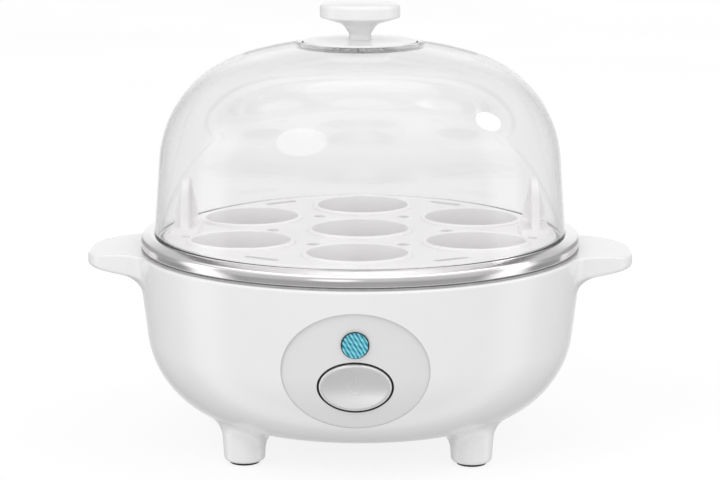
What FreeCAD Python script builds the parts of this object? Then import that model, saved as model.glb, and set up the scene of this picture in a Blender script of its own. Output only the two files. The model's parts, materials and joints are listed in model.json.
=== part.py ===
import FreeCAD, Part
import math
import os
import re
import Sketcher
from FreeCAD import Placement, Rotation, Vector

# Egg cooker for seven eggs. Millimetres, +Z up, the table at z = 0, the vertical axis of the
# bowl at x = y = 0. The control panel faces -Y and the ears lie along X.

doc = FreeCAD.newDocument("egg_cooker")
sheet = doc.addObject("Spreadsheet::Sheet", "Sizes")

SIZES = [
    # body shell
    ("rim_radius", 78.5, "outer radius of the body at its rim"),
    ("rim_height", 69.7, "height of the body's rim above the table"),
    ("rim_edge_round", 0.8, "rounding along the rim and the top of the ears"),
    ("rim_land_width", 5.3, "width of the land between the rim and the body's opening"),
    ("rim_land_thickness", 2.5, "thickness of the land that carries the pan seal"),
    ("wall_draft", 6.5, "angle by which the bowl's wall leans outwards"),
    ("bowl_corner_height", 22.3, "height of that corner"),
    ("bowl_round", 33.0, "radius of the bowl's large lower curve"),
    ("base_step", 17.7, "distance of the flat underside's edge inside the bowl's lower corner"),
    ("base_height", 12.7, "height of the flat underside above the table"),
    ("base_round", 10.5, "rounding between underside and bowl"),
    ("body_wall", 2.3, "wall of the body shell and of its floor ring"),
    # ears
    ("ear_reach", 16.75, "distance of an ear's tip beyond the rim"),
    ("ear_root_inset", 12.5, "distance inside the rim where the ear's plan starts"),
    ("ear_root_half_width", 25.0, "half width of the ear at its root"),
    ("ear_tip_half_width", 15.0, "half width of the ear at its tip before rounding"),
    ("ear_corner_round", 12.0, "rounding of the tip's corners in plan"),
    ("ear_fall_length", 11.25, "length of the falling part of the ear's top"),
    ("ear_top_round", 60.0, "radius that leads into that fall"),
    ("ear_top_fall", 1.5, "distance by which the ear's top falls towards its tip"),
    ("ear_tip_thickness", 3.8, "thickness of the ear at its tip"),
    ("ear_root_depth", 9.7, "thickness of the ear at its root"),
    ("ear_edge_round", 1.5, "rounding of the ear's lower edges"),
    ("ear_blend", 9.0, "radius of the cove between ear and bowl"),
    # legs and their pads
    ("leg_x", 39.0, "x of each leg's axis"),
    ("leg_y", 33.5, "y of each leg's axis"),
    ("leg_radius", 7.0, "radius of a leg at its foot"),
    ("leg_taper", 4.0, "angle by which a leg widens upwards"),
    ("leg_bottom", 0.9, "height of a leg's lower face, above the rubber pad's face"),
    ("leg_edge_round", 1.6, "rounding round a leg's lower face"),
    ("leg_blend", 8.0, "radius of the cove between leg and bowl"),
    ("leg_core_radius", 4.4, "radius of the hollow in a leg"),
    ("leg_core_bottom", 4.2, "height of the bottom of that hollow"),
    ("pad_radius", 5.2, "radius of a rubber foot pad"),
    ("pad_recess", 0.8, "depth of the recess that holds a pad"),
    ("pad_gap", 0.1, "clearance round a pad in its recess"),
    # bottom cover
    ("cover_radius", 36.0, "radius of the bottom cover"),
    ("cover_gap", 0.3, "clearance round the bottom cover"),
    ("cover_thickness", 1.6, "thickness of the bottom cover"),
    ("cover_land", 2.5, "width of the land that the bottom cover lies against"),
    ("cover_screw_inset", 5.0, "distance of the cover's screws inside its edge"),
    ("cover_boss_radius", 4.0, "radius of the body's bosses for those screws"),
    ("cover_boss_top", 24.0, "height of the top of those bosses"),
    ("cover_screw_radius", 1.4, "radius of a cover screw's shank"),
    ("cover_boss_roof", 2.0, "material above the end of a cover screw"),
    ("cover_screw_head_radius", 2.8, "radius of a cover screw's countersunk head"),
    ("hole_gap", 0.2, "clearance round a screw in a plain hole"),
    ("screw_head_round", 0.6, "rounding of a pan-head screw's head"),
    ("drive_half_width", 0.35, "half width of a screw's cross recess"),
    ("cover_screw_drive", 1.4, "half length of a cover screw's cross recess"),
    ("cover_screw_drive_depth", 0.7, "depth of that recess"),
    ("cover_screw_sink", 0.1, "depth of a cover screw's head below the cover's face"),
    ("cover_screw_head_gap", 0.25, "clearance round a cover screw's head"),
    ("vent_slot_length", 24.0, "length of a vent slot in the cover"),
    ("vent_slot_width", 2.0, "width of a vent slot"),
    ("vent_slot_pitch", 4.5, "distance between vent slots"),
    ("vent_slot_count", 5, "number of vent slots"),
    # pan, seal and heater
    ("seal_inset", 1.7, "distance of the pan seal inside the rim"),
    ("seal_width", 2.6, "width of the pan seal"),
    ("seal_thickness", 0.6, "thickness of the pan seal"),
    ("pan_sheet", 0.8, "thickness of the pan's metal sheet"),
    ("band_inset", 1.5, "distance of the pan's bright band inside the rim"),
    ("band_height", 4.6, "height of the band's upper corner above the rim"),
    ("band_round", 1.6, "rounding of that corner"),
    ("hem_width", 3.0, "width of the hem under the band"),
    ("shelf_inset", 3.6, "distance inside the band where the pan's shelf starts"),
    ("shelf_rise", 1.4, "height of the shelf that carries the lid, above the band's corner"),
    ("shelf_width", 4.0, "width of the shelf"),
    ("ledge_depth", 2.5, "depth of the ledge that carries the tray, below the shelf"),
    ("ledge_width", 3.4, "width of that ledge"),
    ("dish_draft", 4.5, "distance by which the pan narrows from the ledge to its floor"),
    ("dish_depth", 18.0, "depth of the pan below the ledge"),
    ("dish_round", 6.0, "rounding between the pan's floor and side"),
    ("spreader_radius", 44.0, "radius of the heat spreader"),
    ("spreader_thickness", 3.0, "thickness of the heat spreader"),
    ("heater_ring_radius", 33.0, "radius of the heater tube's ring"),
    ("heater_tube_radius", 3.3, "radius of the heater tube"),
    ("heater_nesting", 1.3, "depth to which the tube is let into the spreader"),
    ("heater_gap_angle", 74.0, "angle that the ring leaves open at the back"),
    ("heater_pin_length", 9.0, "length of a heater terminal"),
    # pan bracket, studs and thermostat
    ("bracket_sheet", 1.5, "thickness of the bracket's steel"),
    ("bracket_width", 24.0, "width of the bracket"),
    ("bracket_shoulder", 7.0, "distance of the bracket's raised middle inside the tie screws"),
    ("bracket_margin", 6.0, "length of the bracket beyond the tie screws"),
    ("bracket_drop", 15.2, "distance of the bracket's feet below the pan's floor"),
    ("stud_gap", 4.2, "distance of each stud's axis from the thermostat's cap"),
    ("stud_radius", 2.0, "radius of a stud"),
    ("stud_length", 8.5, "length of a stud"),
    ("nut_radius", 4.0, "radius of a nut over its corners"),
    ("nut_thickness", 3.2, "thickness of a nut"),
    ("clip_sheet", 0.8, "thickness of the thermostat's clip"),
    ("clip_width", 17.0, "width of the thermostat's clip"),
    ("clip_margin", 3.6, "length of the thermostat's clip beyond the studs"),
    ("thermostat_cap_radius", 8.0, "radius of the thermostat's metal cap"),
    ("thermostat_body_radius", 6.5, "radius of the thermostat's ceramic body"),
    ("thermostat_body_length", 8.5, "length of the ceramic body below the bracket"),
    ("fuse_radius", 2.0, "radius of the thermal fuse"),
    ("fuse_length", 11.0, "length of the thermal fuse"),
    ("fuse_wire_radius", 0.5, "radius of the fuse's wires"),
    ("fuse_wire_length", 4.0, "length of each of those wires"),
    ("fuse_y", 19.0, "y of the thermal fuse"),
    ("tie_x", 25.0, "distance of each tie screw from the axis"),
    ("tie_post_radius", 4.2, "radius of the cover's tall posts"),
    ("tie_screw_radius", 1.9, "radius of a tie screw's shank"),
    ("tie_head_radius", 3.4, "radius of a tie screw's head"),
    ("tie_head_height", 2.4, "height of a tie screw's head"),
    ("tie_drive", 1.9, "half length of a tie screw's cross recess"),
    ("tie_drive_depth", 1.2, "depth of that recess"),
    ("tie_head_seat", 22.0, "height of the seat of a tie screw's head"),
    ("tie_screw_reach", 5.0, "height of a tie screw's end above the bracket's feet"),
    # tray
    ("tray_gap", 0.8, "clearance round the egg tray, inside the pan's shelf"),
    ("tray_rise", 0.3, "height of the tray's deck above the shelf"),
    ("tray_deck", 1.6, "thickness of the tray's deck"),
    ("tray_rim_wall", 1.6, "wall of the tray's outer rim"),
    ("seat_circle", 46.0, "radius of the circle of the six outer seats"),
    ("seat_count", 6, "number of seats on that circle"),
    ("seat_radius", 16.8, "radius of a seat's opening at its top"),
    ("seat_wall", 1.5, "wall of a seat's collar"),
    ("seat_lip", 1.0, "height of a seat's lip above the deck"),
    ("seat_skirt", 5.0, "depth of a seat's collar below the deck"),
    ("seat_taper", 7.0, "angle by which a seat narrows downwards"),
    ("seat_edge_round", 0.5, "rounding of a seat's lip"),
    ("steam_hole_circle", 30.6, "radius of the circle of the small steam holes"),
    ("steam_hole_radius", 2.2, "radius of a small steam hole"),
    ("steam_slot_inset", 6.6, "distance of the steam slots inside the tray's edge"),
    ("steam_slot_length", 13.0, "length of a steam slot"),
    ("steam_slot_width", 3.0, "width of a steam slot"),
    ("tab_inset", 7.6, "distance of each lift tab inside the tray's edge"),
    ("tab_thickness", 3.0, "thickness of a lift tab"),
    ("tab_height", 18.0, "height of a lift tab above the deck"),
    ("tab_root_half_width", 8.5, "half width of a lift tab at its root"),
    ("tab_top_half_width", 6.5, "half width of a lift tab at its top"),
    ("tab_round", 5.5, "rounding of a lift tab's top"),
    ("wing_reach", 2.4, "reach of a tab's wing to each side, at its widest"),
    ("wing_top_drop", 1.6, "distance of a wing's upper end below the tab's top"),
    ("wing_drop", 11.3, "distance of a wing's widest place below the tab's top"),
    ("wing_edge", 1.6, "height of a wing's blunt outer edge"),
    ("wing_thickness", 1.8, "thickness of a tab's wing"),
    ("collar_reach", 3.6, "reach of a tab's collar to each side"),
    ("collar_margin", 1.5, "length of the collar beyond the tab's root"),
    ("collar_height", 2.0, "height of a tab's collar above the deck"),
    ("collar_round", 2.0, "rounding of the collar's corners in plan"),
    ("drain_inset", 1.5, "distance of a drain hole's middle inside the tab's middle"),
    ("drain_y", 13.8, "distance of a drain hole from the tab's middle, along Y"),
    ("drain_half", 1.4, "half width of a square drain hole"),
    # lid and knob
    ("lid_inset", 1.1, "distance of the lid's edge inside the shelf's edge"),
    ("lid_wall", 2.0, "wall of the lid"),
    ("lid_edge_round", 0.5, "rounding of the lid's edge"),
    ("lid_lean", 4.6, "distance by which the lid's side leans in up to its shoulder"),
    ("shoulder_drop", 26.7, "distance of the lid's shoulder below the knob's top"),
    ("lid_shoulder_round", 40.0, "radius of the lid's shoulder"),
    ("crown_width", 10.8, "width of the crown's middle ring round the knob's land"),
    ("crown_drop", 15.8, "distance of the crown's corner below the knob's top"),
    ("lid_crown_round", 120.0, "radius of the lid's crown"),
    ("land_radius", 20.2, "radius of the knob's land in the crown"),
    ("land_edge_drop", 14.3, "distance of the land's edge below the knob's top"),
    ("land_drop", 15.3, "distance of the land below the knob's top"),
    ("vent_radius", 1.1, "radius of the lid's steam vent"),
    ("vent_distance", 36.0, "distance of the vent behind the axis"),
    ("knob_land_gap", 0.5, "clearance round the knob's disc in its land"),
    ("knob_disc_thickness", 1.5, "thickness of the knob's disc"),
    ("knob_neck_radius", 3.6, "radius of the knob's neck"),
    ("knob_neck_rise", 3.6, "height of the narrowest part of the neck above the land"),
    ("knob_cone_radius", 6.0, "radius of the knob at that place"),
    ("knob_cone_rise", 7.2, "height above the land where the knob's cap starts"),
    ("knob_cap_radius", 14.0, "radius of the knob's cap"),
    ("knob_cap_rise", 9.6, "height of the cap's lower edge above the land"),
    ("knob_crown", 1.1, "height of the cap's domed top"),
    ("knob_top", 155.9, "overall height of the cooker"),
    ("knob_screw_radius", 1.4, "radius of the knob's screw"),
    ("knob_bore_depth", 9.4, "depth of the knob's bore"),
    ("knob_screw_gap", 1.5, "gap between the knob's screw and the end of its bore"),
    ("washer_radius", 5.5, "radius of the knob's washer"),
    ("washer_thickness", 0.8, "thickness of the knob's washer"),
    ("knob_screw_head_radius", 3.0, "radius of the knob screw's head"),
    ("knob_screw_head", 1.9, "height of the knob screw's head"),
    ("knob_drive", 1.7, "half length of the knob screw's cross recess"),
    ("knob_drive_depth", 1.0, "depth of that recess"),
    # control panel
    ("panel_drop", 27.7, "distance of the panel recess's centre below the rim"),
    ("panel_half_width", 24.4, "half width of the panel recess"),
    ("panel_half_height", 20.4, "half height of the panel recess"),
    ("panel_depth", 1.5, "depth of the recess, measured at rim height"),
    ("lens_rise", 6.5, "height of the indicator lens's centre above the power button's edge"),
    ("lens_radius", 4.3, "radius of the indicator lens"),
    ("lens_gap", 0.15, "clearance round the lens"),
    ("lens_seat_gap", 3.6, "depth of the lens collar's back behind the wall's thickness"),
    ("lens_collar_reach", 1.6, "reach of that collar beyond the lens"),
    ("lens_collar", 1.0, "thickness of that collar"),
    ("button_drop", 32.7, "distance of the power button's centre below the rim"),
    ("button_half_width", 11.9, "half width of the power button"),
    ("button_half_height", 8.1, "half height of the power button"),
    ("button_gap", 0.7, "clearance round the power button"),
    ("button_proud", 0.6, "height of the button's face above the panel"),
    ("button_edge_round", 0.7, "rounding of the button's front edge"),
    ("button_wall", 1.5, "wall of the hollow button"),
    ("button_lip", 1.6, "reach of the button's retaining flange"),
    ("button_lip_thickness", 1.2, "thickness of that flange"),
    ("button_lip_inset", 12.5, "depth of the flange's back behind the rim radius"),
    ("button_stem_radius", 3.1, "radius of the button's stem"),
    ("button_travel", 2.0, "travel of the power button"),
    ("plunger_rest_gap", 0.6, "room left between stem and plate beyond that travel"),
    # switch
    ("plate_inset", 18.5, "depth of the switch plate's front behind the rim radius"),
    ("plate_sheet", 1.5, "thickness of the switch plate"),
    ("plate_margin", 4.5, "width of the switch plate beyond its posts"),
    ("plate_half_height", 8.0, "half height of the switch plate"),
    ("post_gap", 9.6, "distance of the plate's posts beyond the power button's side"),
    ("post_radius", 3.2, "radius of those posts"),
    ("plate_screw_radius", 1.3, "radius of the plate's screws"),
    ("plate_screw_length", 5.0, "length of the plate's screws beyond the plate"),
    ("plate_screw_overhang", 1.3, "reach of those screws' heads"),
    ("plate_screw_head", 1.6, "height of those screws' heads"),
    ("plate_drive", 1.5, "half length of those screws' cross recesses"),
    ("plate_drive_depth", 0.8, "depth of those recesses"),
    ("plate_pilot_depth", 6.5, "depth of the pilot holes in the plate's posts"),
    ("plunger_radius", 2.2, "radius of the switch plunger"),
    ("plunger_gap", 0.3, "clearance round the plunger"),
    ("plunger_length", 11.0, "length of the switch plunger"),
    ("spring_gap", 1.5, "distance of the spring's coil from the button's stem"),
    ("spring_wire_radius", 0.4, "radius of the spring's wire"),
    ("spring_turns", 4, "turns of the spring"),
    ("switch_half_width", 8.0, "half width of the switch body"),
    ("switch_half_height", 6.5, "half height of the switch body"),
    ("switch_depth", 13.0, "depth of the switch body"),
    ("tab_blade_width", 4.8, "width of a blade terminal"),
    ("tab_blade_thickness", 0.8, "thickness of a blade terminal"),
    ("tab_blade_length", 6.5, "length of a blade terminal"),
    ("blade_offset", 4.0, "distance of a blade terminal from the middle of its switch"),
    # control board, lamp, terminal block and gland
    ("board_half_length", 15.0, "half length of the control board"),
    ("board_half_width", 8.0, "half width of the control board"),
    ("board_thickness", 1.6, "thickness of the control board"),
    ("board_y", -20.0, "y of the control board's middle"),
    ("board_bottom", 20.0, "height of the control board's underside"),
    ("board_post_x", 11.0, "distance of the board's posts from the middle"),
    ("board_post_radius", 2.2, "radius of the board's posts"),
    ("buzzer_radius", 6.0, "radius of the buzzer"),
    ("buzzer_height", 7.0, "height of the buzzer"),
    ("lamp_radius", 2.5, "radius of the indicator lamp"),
    ("lamp_length", 9.0, "length of the indicator lamp"),
    ("lamp_gap", 0.6, "gap between lamp and lens"),
    ("lamp_foot", 3.0, "length of the lamp's foot"),
    ("lamp_foot_margin", 0.6, "reach of that foot beyond the lamp"),
    ("block_half_length", 11.0, "half length of the terminal block"),
    ("block_half_width", 5.5, "half width of the terminal block"),
    ("block_height", 9.0, "height of the terminal block"),
    ("block_rest", 1.0, "height of the rest under the terminal block"),
    ("block_way_radius", 2.2, "radius of the terminal block's ways"),
    ("block_well_radius", 1.8, "radius of the wells over its screws"),
    ("block_screw_gap", 0.1, "clearance round a screw in its well"),
    ("block_screw_length", 2.5, "length of a terminal screw"),
    ("block_screw_height", 1.6, "height of those screws above the ways' axes"),
    ("block_y", 18.0, "y of the terminal block's middle"),
    ("gland_height", 33.0, "height of the cord gland's axis"),
    ("gland_boss_radius", 8.0, "radius of the boss round the gland"),
    ("gland_face_inset", 2.9, "distance of that boss's face inside the rim"),
    ("gland_boss_depth", 9.1, "depth of that boss"),
    ("gland_flange_radius", 6.8, "radius of the gland's flange"),
    ("gland_flange_thickness", 1.6, "thickness of the gland's flange"),
    ("gland_barrel_radius", 5.0, "radius of the gland's barrel"),
    ("gland_barrel_length", 14.0, "length of the gland's barrel"),
    ("gland_bore_radius", 3.3, "radius of the bore that the supply cord passes"),
    ("gland_nut_radius", 7.6, "radius of the gland's nut over its corners"),
    ("gland_nut_thickness", 3.0, "thickness of the gland's nut"),
    ("lead_radius", 0.9, "radius of an insulated lead"),
]

# Sizes that follow from others, each by its own named distance.
FOLLOWING = {
    "bowl_corner_radius": "rim_radius - (rim_height - bowl_corner_height) * tan(wall_draft)",
    "base_radius": "bowl_corner_radius - base_step",
    "rim_opening_radius": "rim_radius - rim_land_width",
    "ear_tip": "rim_radius + ear_reach",
    "ear_root": "rim_radius - ear_root_inset",
    "ear_top_start": "ear_tip - ear_fall_length",
    "ear_tip_top": "rim_height - ear_top_fall",
    "ear_tip_bottom": "ear_tip_top - ear_tip_thickness",
    "ear_root_bottom": "rim_height - ear_root_depth",
    "cover_opening_radius": "cover_radius - cover_land",
    "cover_screw_circle": "cover_radius - cover_screw_inset",
    "cover_screw_end": "cover_boss_top - cover_boss_roof",
    "seal_outer_radius": "rim_radius - seal_inset",
    "seal_inner_radius": "seal_outer_radius - seal_width",
    "band_radius": "rim_radius - band_inset",
    "band_top": "rim_height + band_height",
    "hem_radius": "band_radius - hem_width",
    "shelf_radius": "band_radius - shelf_inset",
    "shelf_height": "band_top + shelf_rise",
    "shelf_inner_radius": "shelf_radius - shelf_width",
    "ledge_height": "shelf_height - ledge_depth",
    "ledge_inner_radius": "shelf_inner_radius - ledge_width",
    "dish_floor_radius": "ledge_inner_radius - dish_draft",
    "dish_floor_height": "ledge_height - dish_depth",
    "bracket_top_half": "tie_x - bracket_shoulder",
    "bracket_end": "tie_x + bracket_margin",
    "bracket_foot_height": "dish_floor_height - bracket_drop",
    "stud_x": "thermostat_cap_radius + stud_gap",
    "clip_half_length": "stud_x + clip_margin",
    "tie_screw_end": "bracket_foot_height + tie_screw_reach",
    "tray_radius": "shelf_inner_radius - tray_gap",
    "tray_top": "shelf_height + tray_rise",
    "steam_slot_radius": "tray_radius - steam_slot_inset",
    "tab_x": "tray_radius - tab_inset",
    "tab_top": "tray_top + tab_height",
    "lid_radius": "shelf_radius - lid_inset",
    "lid_shoulder_radius": "lid_radius - lid_lean",
    "lid_shoulder_height": "knob_top - shoulder_drop",
    "lid_crown_radius": "land_radius + crown_width",
    "lid_crown_height": "knob_top - crown_drop",
    "land_edge_height": "knob_top - land_edge_drop",
    "land_height": "knob_top - land_drop",
    "knob_disc_radius": "land_radius - knob_land_gap",
    "knob_disc_top": "land_height + knob_disc_thickness",
    "knob_neck_height": "land_height + knob_neck_rise",
    "knob_cone_height": "land_height + knob_cone_rise",
    "knob_cap_bottom": "land_height + knob_cap_rise",
    "knob_cap_top": "knob_top - knob_crown",
    "knob_bore_top": "land_height + knob_bore_depth",
    "knob_screw_end": "knob_bore_top - knob_screw_gap",
    "panel_height": "rim_height - panel_drop",
    "lens_seat_inset": "body_wall + lens_seat_gap",
    "lens_height": "button_height + button_half_height + lens_rise",
    "button_height": "rim_height - button_drop",
    "plate_half_width": "post_x + plate_margin",
    "post_x": "button_half_width + post_gap",
    "spring_radius": "button_stem_radius + spring_gap",
    "gland_boss_face": "rim_radius - gland_face_inset",
    "gland_boss_inner": "gland_boss_face - gland_boss_depth",
}

for row, (alias, number, meaning) in enumerate(SIZES, start=1):
    sheet.set("A%d" % row, meaning)
    sheet.set("B%d" % row, str(number))
    sheet.setAlias("B%d" % row, alias)
doc.recompute()
NAMES = {alias for alias, number, meaning in SIZES}


def bound(text):
    """The expression with every size's name led back to the sheet."""
    def lead_back(word):
        name = word.group()
        if name in FOLLOWING:
            return "(%s)" % bound(FOLLOWING[name])
        return "Sizes." + name if name in NAMES else name
    return re.sub(r"[a-z_]+", lead_back, text)


def size(text):
    """The value that an expression of sizes has now."""
    return float(sheet.evalExpression(bound(text)))


def lowered(text):
    return "-(%s)" % text


# ---- drawing helpers ----

PARTS = []
PAST = "1"  # how far a cutting outline runs past the material
WELL_PAST = "20"  # the same, for outlines that are cut to shape afterwards


def new_body(label):
    """A PartDesign body that is a sub-part of the cooker."""
    body = doc.addObject("PartDesign::Body", label)
    body.Label = label
    PARTS.append(body)
    return body


def origin_feature(body, role):
    return [f for f in body.Origin.OriginFeatures if f.Role == role][0]


def new_sketch(body, name, role="XZ_Plane", level="0"):
    """A sketch on one of the body's own planes, lifted off it along the plane's normal."""
    sketch = body.newObject("Sketcher::SketchObject", name)
    sketch.AttachmentSupport = [(origin_feature(body, role), "")]
    sketch.MapMode = "FlatFace"
    if level != "0":
        sketch.setExpression("AttachmentOffset.Base.z", bound(level))
    return sketch


def bind_constraint(sketch, kind, arguments, text):
    index = sketch.addConstraint(Sketcher.Constraint(kind, *arguments, size(text)))
    sketch.setExpression("Constraints[%d]" % index, bound(text))


def pin(sketch, geometry, position, x, y):
    """Hold one point of the sketch at x, y, given as expressions."""
    for kind, text, axis in (("DistanceX", x, -2), ("DistanceY", y, -1)):
        if text == "0":
            sketch.addConstraint(Sketcher.Constraint("PointOnObject", geometry, position, axis))
        else:
            bind_constraint(sketch, kind, (-1, 1, geometry, position), text)


def add_arc(sketch, centre, start, end, radius):
    """Arc from start to end the short way; gives its index and its start's and end's positions."""
    clockwise = (start - centre).cross(end - centre).z < 0
    first, last = (end, start) if clockwise else (start, end)
    angles = [math.atan2(p.y - centre.y, p.x - centre.x) for p in (first, last)]
    arc = sketch.addGeometry(Part.ArcOfCircle(Part.Circle(centre, Vector(0, 0, 1), radius), *angles))
    return (arc, 2, 1) if clockwise else (arc, 1, 2)


def outline(sketch, corners):
    """Closed outline through corners (x, y) or (x, y, rounding), each bound to the sheet."""
    count = len(corners)
    points = [Vector(size(corner[0]), size(corner[1]), 0) for corner in corners]
    radii = [size(corner[2]) if len(corner) > 2 else 0.0 for corner in corners]
    before, after, centres = [], [], []
    for i, point in enumerate(points):
        back = (points[i - 1] - point).normalize()
        ahead = (points[(i + 1) % count] - point).normalize()
        half = back.getAngle(ahead) / 2
        setback = radii[i] / math.tan(half)
        before.append(point + back * setback)
        after.append(point + ahead * setback)
        centres.append(point + (back + ahead).normalize() * (radii[i] / math.sin(half)))
    lines = [sketch.addGeometry(Part.LineSegment(after[i], before[(i + 1) % count])) for i in range(count)]
    for i, corner in enumerate(corners):
        incoming, outgoing = lines[i - 1], lines[i]
        if not radii[i]:
            sketch.addConstraint(Sketcher.Constraint("Coincident", incoming, 2, outgoing, 1))
            pin(sketch, outgoing, 1, corner[0], corner[1])
            continue
        arc, start, end = add_arc(sketch, centres[i], before[i], after[i], radii[i])
        apex = sketch.addGeometry(Part.Point(points[i]), True)
        pin(sketch, apex, 1, corner[0], corner[1])
        sketch.addConstraint(Sketcher.Constraint("PointOnObject", apex, 1, incoming))
        sketch.addConstraint(Sketcher.Constraint("PointOnObject", apex, 1, outgoing))
        sketch.addConstraint(Sketcher.Constraint("Tangent", incoming, 2, arc, start))
        sketch.addConstraint(Sketcher.Constraint("Tangent", arc, end, outgoing, 1))
        bind_constraint(sketch, "Radius", (arc,), corner[2])


def rectangle(sketch, x_low, x_high, y_low, y_high):
    outline(sketch, [(x_low, y_low), (x_high, y_low), (x_high, y_high), (x_low, y_high)])


def circle(sketch, x, y, radius):
    ring = sketch.addGeometry(Part.Circle(Vector(size(x), size(y), 0), Vector(0, 0, 1), size(radius)))
    pin(sketch, ring, 3, x, y)
    bind_constraint(sketch, "Radius", (ring,), radius)


def oval(sketch, x, y, half_width, half_height):
    """Ellipse with its long axis level."""
    centre = Vector(size(x), size(y), 0)
    ring = sketch.addGeometry(Part.Ellipse(centre, size(half_width), size(half_height)))
    sketch.exposeInternalGeometry(ring)
    long_axis, short_axis = ring + 1, ring + 2
    pin(sketch, ring, 3, x, y)
    sketch.addConstraint(Sketcher.Constraint("Horizontal", long_axis))
    bind_constraint(sketch, "Distance", (long_axis,), "2 * (%s)" % half_width)
    bind_constraint(sketch, "Distance", (short_axis,), "2 * (%s)" % half_height)


def parallel(chain, gap):
    """The corners of the line that runs beside an open chain of corners, gap to its left."""
    points = [Vector(size(corner[0]), size(corner[1]), 0) for corner in chain]
    runs = [(b - a).normalize() for a, b in zip(points, points[1:])]
    normals = [Vector(-run.y, run.x, 0) for run in runs]
    result = []
    for i, corner in enumerate(chain):
        if i in (0, len(chain) - 1):
            normal = normals[0] if i == 0 else normals[-1]
            steep = abs(normal.x) > abs(normal.y)
            shift = Vector(1 / normal.x, 0, 0) if steep else Vector(0, 1 / normal.y, 0)
        else:
            shift = (normals[i - 1] + normals[i]) / (1 + normals[i - 1].dot(normals[i]))
        moved = ["%s + %.6f * %s" % (text, part, gap) for text, part in zip(corner, (shift.x, shift.y))]
        if len(corner) > 2:
            inside = shift.dot(runs[i] - runs[i - 1]) > 0
            moved.append("%s %s %s" % (corner[2], "-" if inside else "+", gap))
        result.append(tuple(moved))
    return result


# ---- feature helpers ----

def revolve(body, name, corners, cut=False):
    """Turn an outline in the XZ plane round the body's Z axis, to add or to cut."""
    sketch = new_sketch(body, name + "_profile")
    outline(sketch, corners)
    feature = body.newObject("PartDesign::Groove" if cut else "PartDesign::Revolution", name)
    feature.Profile = sketch
    feature.ReferenceAxis = (sketch, ["V_Axis"])
    doc.recompute()
    return feature


def pad(body, name, sketch, length, backwards=False, symmetric=False, taper=None):
    """Extrude a sketch along its normal, or against it."""
    feature = body.newObject("PartDesign::Pad", name)
    feature.Profile = sketch
    feature.Reversed = backwards
    if symmetric:
        feature.SideType = "Symmetric"
    if taper:
        feature.setExpression("TaperAngle", bound(taper))
    feature.setExpression("Length", bound(length))
    doc.recompute()
    return feature


def pocket(body, name, sketch, length, along_normal=False, symmetric=False, taper=None):
    """Cut a sketch's area against its normal, or along it."""
    volume = body.Shape.Volume
    feature = body.newObject("PartDesign::Pocket", name)
    feature.Profile = sketch
    feature.Reversed = along_normal
    if symmetric:
        feature.SideType = "Symmetric"
    if taper:
        feature.setExpression("TaperAngle", bound(taper))
    feature.setExpression("Length", bound(length))
    doc.recompute()
    if not feature.Shape.Volume < volume:
        raise RuntimeError(name + " cuts nothing")
    return feature


def polar(body, name, features, count):
    """Repeat features evenly round the body's Z axis."""
    pattern = body.newObject("PartDesign::PolarPattern", name)
    pattern.Originals = features
    pattern.Axis = (origin_feature(body, "Z_Axis"), [""])
    pattern.Angle = 360
    pattern.setExpression("Occurrences", bound(count))
    body.Tip = pattern
    doc.recompute()
    return pattern


def mirror(body, name, features, roles=("YZ_Plane", "XZ_Plane")):
    """Repeat features on the far side of the given planes."""
    pattern = body.newObject("PartDesign::MultiTransform", name)
    pattern.Originals = features
    steps = []
    for role in roles:
        step = body.newObject("PartDesign::Mirrored", name + "_" + role)
        step.MirrorPlane = (origin_feature(body, role), [""])
        steps.append(step)
    pattern.Transformations = steps
    body.Tip = pattern
    doc.recompute()
    return pattern


def edges_where(shape, test):
    """Names of the edges whose middle passes the test."""
    names = []
    for number, edge in enumerate(shape.Edges, start=1):
        first, last = edge.ParameterRange
        if test(edge.valueAt((first + last) / 2)):
            names.append("Edge%d" % number)
    return names


def soften(body, name, radius, test, kind="Fillet"):
    """Fillet or chamfer the edges whose middle passes the test."""
    base = body.Tip
    feature = body.newObject("PartDesign::" + kind, name)
    feature.Base = (base, edges_where(base.Shape, test))
    feature.setExpression("Radius" if kind == "Fillet" else "Size", bound(radius))
    doc.recompute()
    return feature


def combine(body, name, kind, tools):
    """Cut other bodies' shapes out of this body, or fuse them to it."""
    feature = body.newObject("PartDesign::Boolean", name)
    feature.Type = kind
    feature.Group = tools
    body.Tip = feature
    doc.recompute()
    return feature


def tool_body(name):
    """A body that only shapes another one and isn't a sub-part."""
    return doc.addObject("PartDesign::Body", name)


def place(body, x="0", y="0", z="0", rotation=Rotation()):
    """Put a body where the expressions say, turned by the rotation."""
    body.Placement = Placement(Vector(size(x), size(y), size(z)), rotation)
    for axis, text in zip("xyz", (x, y, z)):
        body.setExpression("Placement.Base." + axis, bound(text))


def near(value, text, tolerance=0.05):
    return abs(value - size(text)) < tolerance


FACING_FRONT = Rotation(Vector(1, 0, 0), 90)
FACING_BACK = Rotation(Vector(1, 0, 0), -90)
ACROSS_X = Vector(1, 0, 0)
ACROSS_Y = Vector(0, 1, 0)

# ---- body shell ----

BOWL_OUTSIDE = [
    ("0", "base_height"),
    ("base_radius", "base_height", "base_round"),
    ("bowl_corner_radius", "bowl_corner_height", "bowl_round"),
    ("rim_radius", "rim_height"),
]
PANEL_FACE = BOWL_OUTSIDE[:3] + [("rim_radius - panel_depth", "rim_height")]


def wall_radius(height):
    """Outer radius of the bowl's straight wall at a height."""
    return size("rim_radius - (rim_height - %.6f) * tan(wall_draft)" % height)


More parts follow.
